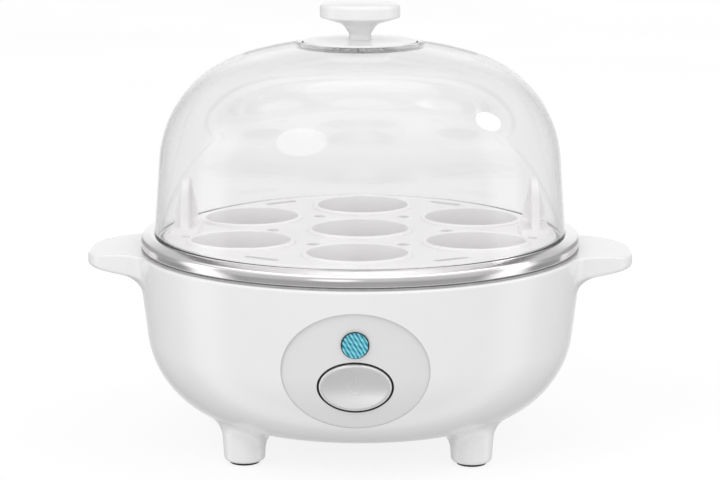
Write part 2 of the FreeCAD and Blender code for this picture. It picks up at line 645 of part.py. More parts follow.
def draw_ears(body):
    """One bar across the bowl whose ends are the ears; the cavity later cuts its middle away."""
    plan = new_sketch(body, "ear_plan", "XY_Plane", "ear_root_bottom")
    tip_front, tip_back = "-ear_tip_half_width", "ear_tip_half_width"
    outline(plan, [
        ("ear_tip", tip_back, "ear_corner_round"), ("ear_root", "ear_root_half_width"),
        ("-ear_root", "ear_root_half_width"), ("-ear_tip", tip_back, "ear_corner_round"),
        ("-ear_tip", tip_front, "ear_corner_round"), ("-ear_root", "-ear_root_half_width"),
        ("ear_root", "-ear_root_half_width"), ("ear_tip", tip_front, "ear_corner_round"),
    ])
    pad(body, "ear_bar", plan, "rim_height - ear_root_bottom")
    slopes = new_sketch(body, "ear_slopes")
    for side in ("", "-"):
        beyond_tip = side + "(ear_tip + %s)" % PAST
        below, above = "ear_root_bottom - " + PAST, "rim_height + " + PAST
        just_outside_rim = side + "(rim_radius + 0.5)"
        outline(slopes, [
            (side + "ear_root", "ear_root_bottom"), (beyond_tip, "ear_tip_bottom"),
            (beyond_tip, below), (side + "ear_root", below),
        ])
        outline(slopes, [
            (just_outside_rim, "rim_height"), (side + "ear_top_start", "rim_height", "ear_top_round"),
            (beyond_tip, "ear_tip_top"), (beyond_tip, above), (just_outside_rim, above),
        ])
    pocket(body, "ear_slope_cut", slopes, "4 * ear_root_half_width", symmetric=True)
    soften(body, "ear_lower_edges", "ear_edge_round",
           lambda p: abs(p.x) > size("ear_root + 0.5") and p.z < size("ear_tip_bottom + 0.6"))


def trim_outside(body, name, chain):
    """Cut away what stands out of the surface that the chain turns round the axis."""
    far = "rim_radius + " + WELL_PAST
    revolve(body, name, chain[1:] + [(far, "rim_height"), (far, "base_height")], cut=True)


def on_ear_root(p):
    """True on the line where an ear meets the bowl's wall."""
    radius = math.hypot(p.x, p.y)
    below_rim = size("ear_root_bottom") < p.z < size("rim_height - 0.05")
    return below_rim and abs(radius - wall_radius(p.z)) < 0.02 and abs(p.y) < size("ear_root_half_width + 5")


def on_leg_root(p):
    """True on the line where a leg meets the bowl."""
    from_leg = math.hypot(abs(p.x) - size("leg_x"), abs(p.y) - size("leg_y"))
    return from_leg < size("leg_radius + 2.5") and p.z > size("base_height - 0.01")


def on_top_outline(p):
    """True along the rim and the top edges of the ears."""
    along_ear_side = abs(p.y) > 1 or abs(p.x) > size("ear_tip - 0.5")
    return p.z > size("ear_tip_top - 0.1") and along_ear_side


def make_body_shell():
    body = new_body("body_shell")
    draw_ears(body)
    revolve(body, "bowl", BOWL_OUTSIDE + [("0", "rim_height")])
    foot = new_sketch(body, "leg_outline", "XY_Plane", "leg_bottom")
    circle(foot, "leg_x", "leg_y", "leg_radius")
    leg = pad(body, "leg", foot, "bowl_corner_height", taper="leg_taper")
    mirror(body, "legs", [leg])
    soften(body, "leg_coves", "leg_blend", on_leg_root)
    soften(body, "ear_coves", "ear_blend", on_ear_root)
    soften(body, "top_edges", "rim_edge_round", on_top_outline)
    soften(body, "leg_edges", "leg_edge_round", lambda p: near(p.z, "leg_bottom"))

    floor_corner, bowl_corner, wall_end = parallel(BOWL_OUTSIDE, "body_wall")[1:]
    revolve(body, "cavity", [
        ("0", "rim_height + " + PAST), ("rim_opening_radius", "rim_height + " + PAST),
        ("rim_opening_radius", "rim_height - rim_land_thickness"),
        (wall_end[0], "rim_height - rim_land_thickness"), bowl_corner, floor_corner,
        ("cover_opening_radius", "base_height + body_wall"),
        ("cover_opening_radius", "base_height - " + PAST), ("0", "base_height - " + PAST),
    ], cut=True)
    revolve(body, "cover_rebate", [
        ("0", "leg_bottom - " + PAST), ("cover_radius + cover_gap", "leg_bottom - " + PAST),
        ("cover_radius + cover_gap", "base_height + cover_thickness"),
        ("0", "base_height + cover_thickness"),
    ], cut=True)

    core = new_sketch(body, "leg_core_outline", "XY_Plane", "leg_core_bottom")
    circle(core, "leg_x", "leg_y", "leg_core_radius")
    hollow = pocket(body, "leg_core", core, "base_height + body_wall - leg_core_bottom",
                    along_normal=True)
    recess = new_sketch(body, "pad_recess_outline", "XY_Plane", "leg_bottom")
    circle(recess, "leg_x", "leg_y", "pad_radius + pad_gap")
    seat = pocket(body, "pad_recess_cut", recess, "pad_recess", along_normal=True)
    mirror(body, "leg_cuts", [hollow, seat])

    boss_place = ("cover_screw_circle * cos(45)", "cover_screw_circle * sin(45)")
    boss_outline = new_sketch(body, "cover_boss_outline", "XY_Plane", "base_height + cover_thickness")
    circle(boss_outline, *boss_place, "cover_boss_radius")
    boss = pad(body, "cover_boss", boss_outline, "cover_boss_top - base_height - cover_thickness")
    pilot_outline = new_sketch(body, "cover_pilot_outline", "XY_Plane", "base_height + cover_thickness")
    circle(pilot_outline, *boss_place, "cover_screw_radius")
    pilot = pocket(body, "cover_pilot", pilot_outline,
                   "cover_screw_end - base_height - cover_thickness", along_normal=True)
    mirror(body, "cover_bosses", [boss, pilot])

    posts = tool_body("plate_posts")
    post_outline = new_sketch(posts, "plate_post_outline", "XZ_Plane", "rim_radius - plate_inset")
    for side in ("", "-"):
        circle(post_outline, side + "post_x", "button_height", "post_radius")
    pad(posts, "plate_post_prisms", post_outline, "plate_inset")
    trim_outside(posts, "plate_post_ends", parallel(BOWL_OUTSIDE, "body_wall / 2"))
    combine(body, "with_plate_posts", "Fuse", [posts])
    screw_holes = new_sketch(body, "plate_pilot_outline", "XZ_Plane", "rim_radius - plate_inset")
    for side in ("", "-"):
        circle(screw_holes, side + "post_x", "button_height", "plate_screw_radius")
    pocket(body, "plate_pilots", screw_holes, "plate_pilot_depth", along_normal=True)

    gland_seat = new_sketch(body, "gland_boss_outline", "XZ_Plane", lowered("gland_boss_inner"))
    circle(gland_seat, "0", "gland_height", "gland_boss_radius")
    pad(body, "gland_boss", gland_seat, "gland_boss_depth", backwards=True)
    bore = new_sketch(body, "gland_hole_outline", "XZ_Plane", lowered("gland_boss_inner - 5"))
    circle(bore, "0", "gland_height", "gland_barrel_radius + hole_gap")
    pocket(body, "gland_hole", bore, "gland_boss_depth + 10")

    cutter = tool_body("panel_cutter")
    face = new_sketch(cutter, "panel_outline", "XZ_Plane", "rim_radius - 15")
    oval(face, "0", "panel_height", "panel_half_width", "panel_half_height")
    pad(cutter, "panel_prism", face, "20")
    revolve(cutter, "panel_face", PANEL_FACE + [("0", "rim_height")], cut=True)
    opening = tool_body("button_opening")
    mouth = new_sketch(opening, "button_opening_outline", "XZ_Plane", "rim_radius - 15")
    oval(mouth, "0", "button_height", "button_half_width + button_gap", "button_half_height + button_gap")
    pad(opening, "button_opening_prism", mouth, "20")
    lens_bore = tool_body("lens_opening")
    ring = new_sketch(lens_bore, "lens_opening_outline", "XZ_Plane", "rim_radius - 15")
    circle(ring, "0", "lens_height", "lens_radius + lens_gap")
    pad(lens_bore, "lens_opening_prism", ring, "20")
    combine(body, "panel_cuts", "Cut", [cutter, opening, lens_bore])


def turned(label, corners):
    """A sub-part turned round its own Z axis from one outline."""
    body = new_body(label)
    revolve(body, label + "_form", corners)
    return body


def make_foot_pads():
    for end, y_side in (("front", "-"), ("rear", "")):
        for hand, x_side in (("left", "-"), ("right", "")):
            body = turned("foot_pad_%s_%s" % (end, hand), [
                ("0", "0"), ("pad_radius", "0", "0.4"), ("pad_radius", "leg_bottom + pad_recess"),
                ("0", "leg_bottom + pad_recess"),
            ])
            place(body, x_side + "leg_x", y_side + "leg_y")


def make_bottom_cover():
    top = "base_height + cover_thickness"
    body = turned("bottom_cover", [
        ("0", "base_height"), ("cover_radius", "base_height", "0.4"), ("cover_radius", top), ("0", top),
    ])
    screw_place = ("cover_screw_circle * cos(45)", "cover_screw_circle * sin(45)")
    holes = new_sketch(body, "cover_screw_holes", "XY_Plane", "base_height")
    circle(holes, *screw_place, "cover_screw_radius + hole_gap")
    hole = pocket(body, "cover_screw_hole", holes, "cover_thickness", along_normal=True)
    polar(body, "cover_screw_hole_ring", [hole], "4")
    sink = Vector(size(screw_place[0]), size(screw_place[1]), 0)
    soften(body, "cover_countersinks", "cover_screw_head_radius - cover_screw_radius - hole_gap - 0.1",
           lambda p: near(p.z, "base_height") and near(math.hypot(abs(p.x) - sink.x, abs(p.y) - sink.y),
                                                       "cover_screw_radius + hole_gap"), "Chamfer")
    slots = new_sketch(body, "vent_slot_outline", "XY_Plane", "base_height")
    for i in range(int(size("vent_slot_count"))):
        middle = "vent_slot_pitch * %g" % (i - (size("vent_slot_count") - 1) / 2)
        rectangle(slots, "-vent_slot_length / 2", "vent_slot_length / 2",
                  middle + " - vent_slot_width / 2", middle + " + vent_slot_width / 2")
    pocket(body, "vent_slots", slots, "cover_thickness", along_normal=True)
    tie_posts = new_sketch(body, "tie_post_outline", "XY_Plane", top)
    board_posts = new_sketch(body, "board_post_outline", "XY_Plane", top)
    block_rest = new_sketch(body, "block_rest_outline", "XY_Plane", top)
    bores = new_sketch(body, "tie_bore_outline", "XY_Plane", "base_height")
    seats = new_sketch(body, "tie_seat_outline", "XY_Plane", "base_height")
    for side in ("", "-"):
        circle(tie_posts, side + "tie_x", "0", "tie_post_radius")
        circle(bores, side + "tie_x", "0", "tie_screw_radius + hole_gap")
        circle(seats, side + "tie_x", "0", "tie_head_radius + hole_gap")
        circle(board_posts, side + "board_post_x", "board_y", "board_post_radius")
    rectangle(block_rest, "-block_half_length", "block_half_length",
              "block_y - block_half_width", "block_y + block_half_width")
    pad(body, "tie_posts", tie_posts, "bracket_foot_height - base_height - cover_thickness")
    pad(body, "board_posts", board_posts, "board_bottom - base_height - cover_thickness")
    pad(body, "block_rest", block_rest, "block_rest")
    pocket(body, "tie_bores", bores, "bracket_foot_height", along_normal=True)
    pocket(body, "tie_seats", seats, "tie_head_seat - base_height", along_normal=True)


def screw_corners(head_radius, head_bottom, seat, shank_radius, end):
    """Outline of a pan-head screw that points up, its head at the bottom."""
    return [
        ("0", head_bottom), (head_radius, head_bottom, "screw_head_round"), (head_radius, seat),
        (shank_radius, seat), (shank_radius, end), ("0", end),
    ]


def drive_slot(body, name, level, half_length, depth, x="0", y="0"):
    """A crossed recess in a screw head that faces down."""
    crossed = ((half_length, "drive_half_width"), ("drive_half_width", half_length))
    for turn, (reach_x, reach_y) in enumerate(crossed):
        sketch = new_sketch(body, "%s_%d" % (name, turn), "XY_Plane", level)
        rectangle(sketch, "%s - %s" % (x, reach_x), "%s + %s" % (x, reach_x),
                  "%s - %s" % (y, reach_y), "%s + %s" % (y, reach_y))
        pocket(body, "%s_cut_%d" % (name, turn), sketch, depth, along_normal=True)


def group(label, members):
    """One node that holds identical separate pieces."""
    compound = doc.addObject("Part::Compound", label)
    compound.Label = label
    compound.Links = members
    PARTS.append(compound)
    return compound


def with_mirror_images(piece, *normals):
    """The piece and its mirror images across the planes through the axis with these normals."""
    pieces = [piece]
    for normal in normals:
        for original in list(pieces):
            image = doc.addObject("Part::Mirroring", original.Name + "_image")
            image.Source = original
            image.Normal = normal
            pieces.append(image)
    return pieces


def make_cover_screws():
    master = tool_body("cover_screw")
    head_bottom = "base_height + cover_screw_sink"
    head_radius = "(cover_screw_head_radius - cover_screw_head_gap)"
    revolve(master, "cover_screw_form", [
        ("0", head_bottom), (head_radius, head_bottom),
        ("cover_screw_radius", "%s + %s - cover_screw_radius" % (head_bottom, head_radius)),
        ("cover_screw_radius", "cover_screw_end - 1"), ("0", "cover_screw_end - 0.2"),
    ])
    drive_slot(master, "cover_drive", head_bottom, "cover_screw_drive", "cover_screw_drive_depth")
    place(master, "cover_screw_circle * cos(45)", "cover_screw_circle * sin(45)")
    group("cover_screws", with_mirror_images(master, ACROSS_X, ACROSS_Y))


def make_tie_screws():
    master = tool_body("tie_screw")
    head_bottom = "tie_head_seat - tie_head_height"
    revolve(master, "tie_screw_form", screw_corners(
        "tie_head_radius", head_bottom, "tie_head_seat", "tie_screw_radius", "tie_screw_end"))
    drive_slot(master, "tie_screw_cross", head_bottom, "tie_drive", "tie_drive_depth")
    place(master, "tie_x")
    group("tie_screws", with_mirror_images(master, ACROSS_X))


# ---- pan, seal and heater ----

PAN_FACE = [
    ("hem_radius", "rim_height + seal_thickness"),
    ("band_radius", "rim_height + seal_thickness", "1"),
    ("band_radius", "band_top", "band_round"),
    ("shelf_radius", "shelf_height", "3"),
    ("shelf_inner_radius", "shelf_height", "pan_sheet"),
    ("shelf_inner_radius", "ledge_height", "0.6"),
    ("ledge_inner_radius", "ledge_height", "pan_sheet"),
    ("dish_floor_radius", "dish_floor_height", "dish_round"),
    ("0", "dish_floor_height"),
]
PAN_UNDERSIDE = "(dish_floor_height - pan_sheet)"
SPREADER_UNDERSIDE = "(dish_floor_height - pan_sheet - spreader_thickness)"
TUBE_HEIGHT = "(%s - heater_tube_radius + heater_nesting)" % SPREADER_UNDERSIDE
BRACKET_UNDERSIDE = "(%s - bracket_sheet)" % SPREADER_UNDERSIDE
CLIP_UNDERSIDE = "(%s - clip_sheet)" % BRACKET_UNDERSIDE


def make_heating_pan():
    turned("heating_pan", PAN_FACE + parallel(PAN_FACE, "pan_sheet")[::-1])


def make_pan_seal():
    top = "rim_height + seal_thickness"
    turned("pan_seal", [
        ("seal_inner_radius", "rim_height"), ("seal_outer_radius", "rim_height"),
        ("seal_outer_radius", top), ("seal_inner_radius", top),
    ])


def make_heat_spreader():
    body = turned("heat_spreader", [
        ("0", SPREADER_UNDERSIDE), ("spreader_radius", SPREADER_UNDERSIDE, "0.8"),
        ("spreader_radius", PAN_UNDERSIDE), ("0", PAN_UNDERSIDE),
    ])
    sketch = new_sketch(body, "tube_groove_profile")
    circle(sketch, "heater_ring_radius", TUBE_HEIGHT, "heater_tube_radius")
    groove = body.newObject("PartDesign::Groove", "tube_groove")
    groove.Profile = sketch
    groove.ReferenceAxis = (sketch, ["V_Axis"])
    doc.recompute()


def make_heater_tube():
    body = new_body("heater_tube")
    sketch = new_sketch(body, "tube_section")
    circle(sketch, "heater_ring_radius", "0", "heater_tube_radius")
    ring = body.newObject("PartDesign::Revolution", "tube_ring")
    ring.Profile = sketch
    ring.ReferenceAxis = (sketch, ["V_Axis"])
    ring.setExpression("Angle", bound("360 - heater_gap_angle"))
    doc.recompute()
    start = Rotation(Vector(0, 0, 1), 90 + size("heater_gap_angle") / 2)
    place(body, "0", "0", TUBE_HEIGHT, start)


def make_heater_terminals():
    """A ceramic collar and a blade on each end of the tube."""
    terminal = tool_body("heater_terminal")
    collar = new_sketch(terminal, "collar_outline", "XY_Plane")
    circle(collar, "0", "0", "heater_tube_radius - 0.5")
    pad(terminal, "collar", collar, "heater_pin_length / 3")
    blade = new_sketch(terminal, "blade_outline", "XY_Plane")
    rectangle(blade, "-tab_blade_thickness / 2", "tab_blade_thickness / 2",
              "-tab_blade_width / 2", "tab_blade_width / 2")
    pad(terminal, "blade", blade, "heater_pin_length")
    half_gap = math.radians(size("heater_gap_angle") / 2)
    along_ring = Vector(-math.cos(half_gap), math.sin(half_gap), 0)
    place(terminal, "heater_ring_radius * sin(heater_gap_angle / 2)",
          "heater_ring_radius * cos(heater_gap_angle / 2)", TUBE_HEIGHT,
          Rotation(Vector(0, 0, 1), along_ring))
    group("heater_terminals", with_mirror_images(terminal, ACROSS_X))


def make_pan_bracket():
    body = new_body("pan_bracket")
    side_view = new_sketch(body, "bracket_profile")
    foot_top = "bracket_foot_height + bracket_sheet"
    inner_half = "(bracket_top_half - bracket_sheet)"
    outline(side_view, [
        ("-bracket_end", "bracket_foot_height"), ("-" + inner_half, "bracket_foot_height", "bracket_sheet"),
        ("-" + inner_half, BRACKET_UNDERSIDE, "0.5"), (inner_half, BRACKET_UNDERSIDE, "0.5"),
        (inner_half, "bracket_foot_height", "bracket_sheet"), ("bracket_end", "bracket_foot_height"),
        ("bracket_end", foot_top), ("bracket_top_half", foot_top, "0.5"),
        ("bracket_top_half", SPREADER_UNDERSIDE, "bracket_sheet"),
        ("-bracket_top_half", SPREADER_UNDERSIDE, "bracket_sheet"),
        ("-bracket_top_half", foot_top, "0.5"), ("-bracket_end", foot_top),
    ])
    pad(body, "bracket_strap", side_view, "bracket_width", symmetric=True)
    holes = new_sketch(body, "bracket_holes", "XY_Plane", "bracket_foot_height")
    circle(holes, "0", "0", "thermostat_cap_radius + hole_gap / 2")
    for side in ("", "-"):
        circle(holes, side + "stud_x", "0", "stud_radius + hole_gap")
        circle(holes, side + "tie_x", "0", "tie_screw_radius")
    pocket(body, "bracket_hole_cut", holes, "30", along_normal=True)


def make_studs_and_nuts():
    stud = tool_body("stud")
    bottom = "%s - stud_length" % SPREADER_UNDERSIDE
    revolve(stud, "stud_form", [
        ("0", bottom), ("stud_radius", bottom, "0.5"), ("stud_radius", SPREADER_UNDERSIDE),
        ("0", SPREADER_UNDERSIDE),
    ])
    place(stud, "stud_x")
    group("pan_studs", with_mirror_images(stud, ACROSS_X))
    nut = tool_body("stud_nut")
    hexagon = new_sketch(nut, "nut_outline", "XY_Plane", "%s - nut_thickness" % CLIP_UNDERSIDE)
    hexagon_corners(hexagon, "nut_radius")
    circle(hexagon, "0", "0", "stud_radius")
    pad(nut, "nut_form", hexagon, "nut_thickness")
    place(nut, "stud_x")
    group("stud_nuts", with_mirror_images(nut, ACROSS_X))


def hexagon_corners(sketch, radius):
    outline(sketch, [
        ("%s * cos(%d)" % (radius, angle), "%s * sin(%d)" % (radius, angle)) for angle in range(0, 360, 60)
    ])


def make_thermostat():
    turned("thermostat", [
        ("0", "%s - thermostat_body_length" % BRACKET_UNDERSIDE),
        ("thermostat_body_radius", "%s - thermostat_body_length" % BRACKET_UNDERSIDE, "0.6"),
        ("thermostat_body_radius", BRACKET_UNDERSIDE), ("thermostat_cap_radius", BRACKET_UNDERSIDE),
        ("thermostat_cap_radius", SPREADER_UNDERSIDE), ("0", SPREADER_UNDERSIDE),
    ])
    body = new_body("thermostat_tabs")
    blades = new_sketch(body, "thermostat_tab_outline", "XY_Plane",
                        "%s - thermostat_body_length" % BRACKET_UNDERSIDE)
    for side in ("", "-"):
        rectangle(blades, "-tab_blade_width / 2", "tab_blade_width / 2",
                  side + "blade_offset - tab_blade_thickness / 2",
                  side + "blade_offset + tab_blade_thickness / 2")
    pad(body, "thermostat_tab_form", blades, "tab_blade_length", backwards=True)
    clip = new_body("thermostat_clip")
    plate = new_sketch(clip, "clip_outline", "XY_Plane", CLIP_UNDERSIDE)
    outline(plate, [
        (x + "clip_half_length", y + "clip_width / 2", "2")
        for x, y in (("", ""), ("-", ""), ("-", "-"), ("", "-"))
    ])
    circle(plate, "0", "0", "thermostat_body_radius + hole_gap")
    for side in ("", "-"):
        circle(plate, side + "stud_x", "0", "stud_radius + hole_gap")
    pad(clip, "clip_form", plate, "clip_sheet")


def make_thermal_fuse():
    case_end = "(fuse_length / 2 - 1)"
    end = "(fuse_length / 2 + fuse_wire_length)"
    body = turned("thermal_fuse", [
        ("0", "-" + end), ("fuse_wire_radius", "-" + end), ("fuse_wire_radius", "-" + case_end),
        ("fuse_radius", "-" + case_end, "0.8"), ("fuse_radius", case_end, "0.8"),
        ("fuse_wire_radius", case_end), ("fuse_wire_radius", end), ("0", end),
    ])
    place(body, "0", "fuse_y", "%s - fuse_radius" % SPREADER_UNDERSIDE, Rotation(Vector(0, 1, 0), 90))


# ---- egg tray ----

def make_egg_tray():
    underside = "tray_top - tray_deck"
    inner_rim = "tray_radius - tray_rim_wall"
    body = turned("egg_tray", [
        ("0", underside), (inner_rim, underside), (inner_rim, "ledge_height"),
        ("tray_radius", "ledge_height", "0.3"), ("tray_radius", "tray_top", "0.8"), ("0", "tray_top"),
    ])
    add_seat(body, "middle_seat", "0")
    polar(body, "seat_ring", add_seat(body, "outer_seat", "seat_circle"), "seat_count")

    half_step = "(180 / seat_count)"
    holes = new_sketch(body, "steam_hole_outline", "XY_Plane", "tray_top")
    circle(holes, "steam_hole_circle * sin(%s)" % half_step, "-steam_hole_circle * cos(%s)" % half_step,
           "steam_hole_radius")
    hole = pocket(body, "steam_hole", holes, "2 * tray_deck")
    polar(body, "steam_hole_ring", [hole], "seat_count")

    slots = new_sketch(body, "steam_slot_outline", "XY_Plane", "tray_top")
    tilted_slot(slots, half_step)
    slot = pocket(body, "steam_slot", slots, "2 * tray_deck")
    mirror(body, "steam_slots", [slot])

    add_lift_tabs(body)
    soften(body, "seat_lip_edges", "seat_edge_round", lambda p: near(p.z, "tray_top + seat_lip", 0.01))


def add_seat(body, name, distance):
    """A collar through the deck with a tapered opening, on the -Y side of the axis."""
    collar = new_sketch(body, name + "_collar_outline", "XY_Plane", "tray_top - seat_skirt")
    circle(collar, "0", lowered(distance) if distance != "0" else "0", "seat_radius + seat_wall")
    ring = pad(body, name + "_collar", collar, "seat_skirt + seat_lip")
    opening = new_sketch(body, name + "_opening_outline", "XY_Plane", "tray_top + seat_lip")
    circle(opening, "0", lowered(distance) if distance != "0" else "0", "seat_radius")
    hole = pocket(body, name + "_opening", opening, "seat_skirt + seat_lip", taper="-seat_taper")
    return [ring, hole]


def tilted_slot(sketch, turn):
    """A slot with its long side across the ray that lies the given angle off the -Y axis."""
    corners = []
    for across, out in ((-1, -1), (1, -1), (1, 1), (-1, 1)):
        along_text = "(%d * steam_slot_length / 2)" % across
        out_text = "(steam_slot_radius + %d * steam_slot_width / 2)" % out
        corners.append((
            "%s * sin(%s) + %s * cos(%s)" % (out_text, turn, along_text, turn),
            "-%s * cos(%s) + %s * sin(%s)" % (out_text, turn, along_text, turn),
            "steam_slot_width / 2 - 0.1",
        ))
    outline(sketch, corners)


def add_lift_tabs(body):
    """A blade across each side of the tray, with a wing to each side of it and a collar round its root."""
    low = "tray_top - tray_deck"
    half = "tab_thickness / 2"
    shape = new_sketch(body, "tab_outline", "YZ_Plane", "tab_x - " + half)
    outline(shape, [
        ("-tab_root_half_width", low), ("tab_root_half_width", low),
        ("tab_top_half_width", "tab_top", "tab_round"), ("-tab_top_half_width", "tab_top", "tab_round"),
    ])
    tab = pad(body, "lift_tab", shape, "tab_thickness")
    wing_outline = new_sketch(body, "wing_outline")
    upper, widest = "tab_top - wing_top_drop", "tab_top - wing_drop"
    blunt_end = widest + " - wing_edge"
    lower = blunt_end + " - wing_reach"
    outline(wing_outline, [
        ("tab_x - " + half, upper), ("tab_x - %s - wing_reach" % half, widest),
        ("tab_x - %s - wing_reach" % half, blunt_end), ("tab_x - " + half, lower),
        ("tab_x + " + half, lower), ("tab_x + %s + wing_reach" % half, blunt_end),
        ("tab_x + %s + wing_reach" % half, widest), ("tab_x + " + half, upper),
    ])
    wings = pad(body, "wings", wing_outline, "wing_thickness", symmetric=True)
    plan = new_sketch(body, "collar_outline", "XY_Plane", low)
    reach_x, reach_y = half + " + collar_reach", "tab_root_half_width + collar_margin"
    outline(plan, [
        ("tab_x %s (%s)" % (across, reach_x), "%s(%s)" % (along, reach_y), "collar_round")
        for across, along in (("+", ""), ("-", ""), ("-", "-"), ("+", "-"))
    ])
    collar = pad(body, "collar", plan, "tray_deck + collar_height")
    mirror(body, "lift_tabs", [tab, wings, collar], ["YZ_Plane"])
    drains = new_sketch(body, "drain_outline", "XY_Plane", "tray_top")
    rectangle(drains, "tab_x - drain_inset - drain_half", "tab_x - drain_inset + drain_half",
              "drain_y - drain_half", "drain_y + drain_half")
    drain = pocket(body, "drain_hole", drains, "2 * tray_deck")
    mirror(body, "drain_holes", [drain])
    soften(body, "tab_edges", "tab_thickness / 3",
           lambda p: p.z > size("tab_top - tab_round") and near(abs(abs(p.x) - size("tab_x")), half)
           and not near(abs(p.y), "wing_thickness / 2"))


# ---- lid and knob ----

LID_OUTSIDE = [
    ("lid_radius", "shelf_height"),
    ("lid_shoulder_radius", "lid_shoulder_height", "lid_shoulder_round"),
    ("lid_crown_radius", "lid_crown_height", "lid_crown_round"),
    ("land_radius", "land_edge_height"),
]


def make_lid_dome():
    inside = parallel(LID_OUTSIDE, "lid_wall")
    land_underside = "land_height - lid_wall"
    step_radius = "land_radius + lid_wall"
    hole = "knob_screw_radius + hole_gap"
    body = turned("lid_dome", LID_OUTSIDE + [
        ("land_radius", "land_height"), (hole, "land_height"), (hole, land_underside),
        (step_radius, land_underside), (step_radius, inside[3][1]), inside[2], inside[1], inside[0],
    ])
    soften(body, "lid_edge", "lid_edge_round", lambda p: near(p.z, "shelf_height"))
    vent = new_sketch(body, "vent_outline", "XY_Plane", "land_height + 5")
    circle(vent, "0", "vent_distance", "vent_radius")
    pocket(body, "vent", vent, "15")


def make_lid_knob():
    bore = "knob_screw_radius"
    turned("lid_knob", [
        (bore, "land_height"), ("knob_disc_radius", "land_height"),
        ("knob_disc_radius", "knob_disc_top", "0.3"), ("knob_neck_radius + 0.6", "knob_disc_top + 0.3", "1"),
        ("knob_neck_radius", "knob_neck_height", "2"), ("knob_cone_radius", "knob_cone_height", "4"),
        ("knob_cap_radius", "knob_cap_bottom", "0.7"), ("knob_cap_radius", "knob_cap_top", "1.6"),
        ("knob_cap_radius / 2", "knob_top", "30"), ("0", "knob_top"), ("0", "knob_bore_top"),
        (bore, "knob_bore_top"),
    ])


def make_knob_screw():
    washer_top = "land_height - lid_wall"
    washer_bottom = washer_top + " - washer_thickness"
    turned("lid_washer", [
        ("knob_screw_radius + hole_gap", washer_bottom), ("washer_radius", washer_bottom),
        ("washer_radius", washer_top), ("knob_screw_radius + hole_gap", washer_top),
    ])
    head_bottom = washer_bottom + " - knob_screw_head"
    body = turned("lid_screw", screw_corners(
        "knob_screw_head_radius", head_bottom, washer_bottom, "knob_screw_radius", "knob_screw_end"))
    drive_slot(body, "lid_screw_cross", head_bottom, "knob_drive", "knob_drive_depth")


# ---- control panel ----

PLUNGER_TIP = "(rim_radius - plate_inset + button_travel + plunger_rest_gap)"
SPRING_ROOM = "plate_inset - button_lip_inset"


def make_indicator_lens():
    """Turned round its own axis, which points at the front; its collar's back is at zero."""
    face = "lens_seat_inset - (rim_height - lens_height) * tan(wall_draft)"
    collar = "lens_radius + lens_collar_reach"
    body = turned("indicator_lens", [
        ("0", "0"), (collar, "0"), (collar, "lens_collar"), ("lens_radius", "lens_collar"),
        ("lens_radius", face + " - panel_depth / 2", "0.5"), ("0", face),
    ])
    place(body, "0", "-(rim_radius - lens_seat_inset)", "lens_height", FACING_FRONT)


def make_power_button():
    body = new_body("power_button")
    cap = new_sketch(body, "button_cap_outline", "XZ_Plane", "rim_radius - button_lip_inset")
    oval(cap, "0", "button_height", "button_half_width", "button_half_height")
    pad(body, "button_cap", cap, "button_lip_inset + 2")
    trim_outside(body, "button_face", parallel(PANEL_FACE, "-button_proud"))
    soften(body, "button_edge", "button_edge_round",
           lambda p: p.y < -size("rim_radius - button_lip_inset + 0.5") and on_button_rim(p))
    hollow = new_sketch(body, "button_hollow_outline", "XZ_Plane", "rim_radius - button_lip_inset")
    oval(hollow, "0", "button_height", "button_half_width - button_wall", "button_half_height - button_wall")
    pocket(body, "button_hollow", hollow, "3", along_normal=True)
    lip = new_sketch(body, "button_lip_outline", "XZ_Plane", "rim_radius - button_lip_inset")
    oval(lip, "0", "button_height", "button_half_width + button_lip", "button_half_height + button_lip")
    pad(body, "button_flange", lip, "button_lip_thickness")
    stem = new_sketch(body, "button_stem_outline", "XZ_Plane", PLUNGER_TIP)
    circle(stem, "0", "button_height", "button_stem_radius")
    pad(body, "button_stem", stem,
        "button_lip_thickness + (rim_radius - button_lip_inset) - %s" % PLUNGER_TIP)


def on_button_rim(p):
    half_width, half_height = size("button_half_width"), size("button_half_height")
    across, up = p.x / half_width, (p.z - size("button_height")) / half_height
    return abs(math.hypot(across, up) - 1) < 0.02


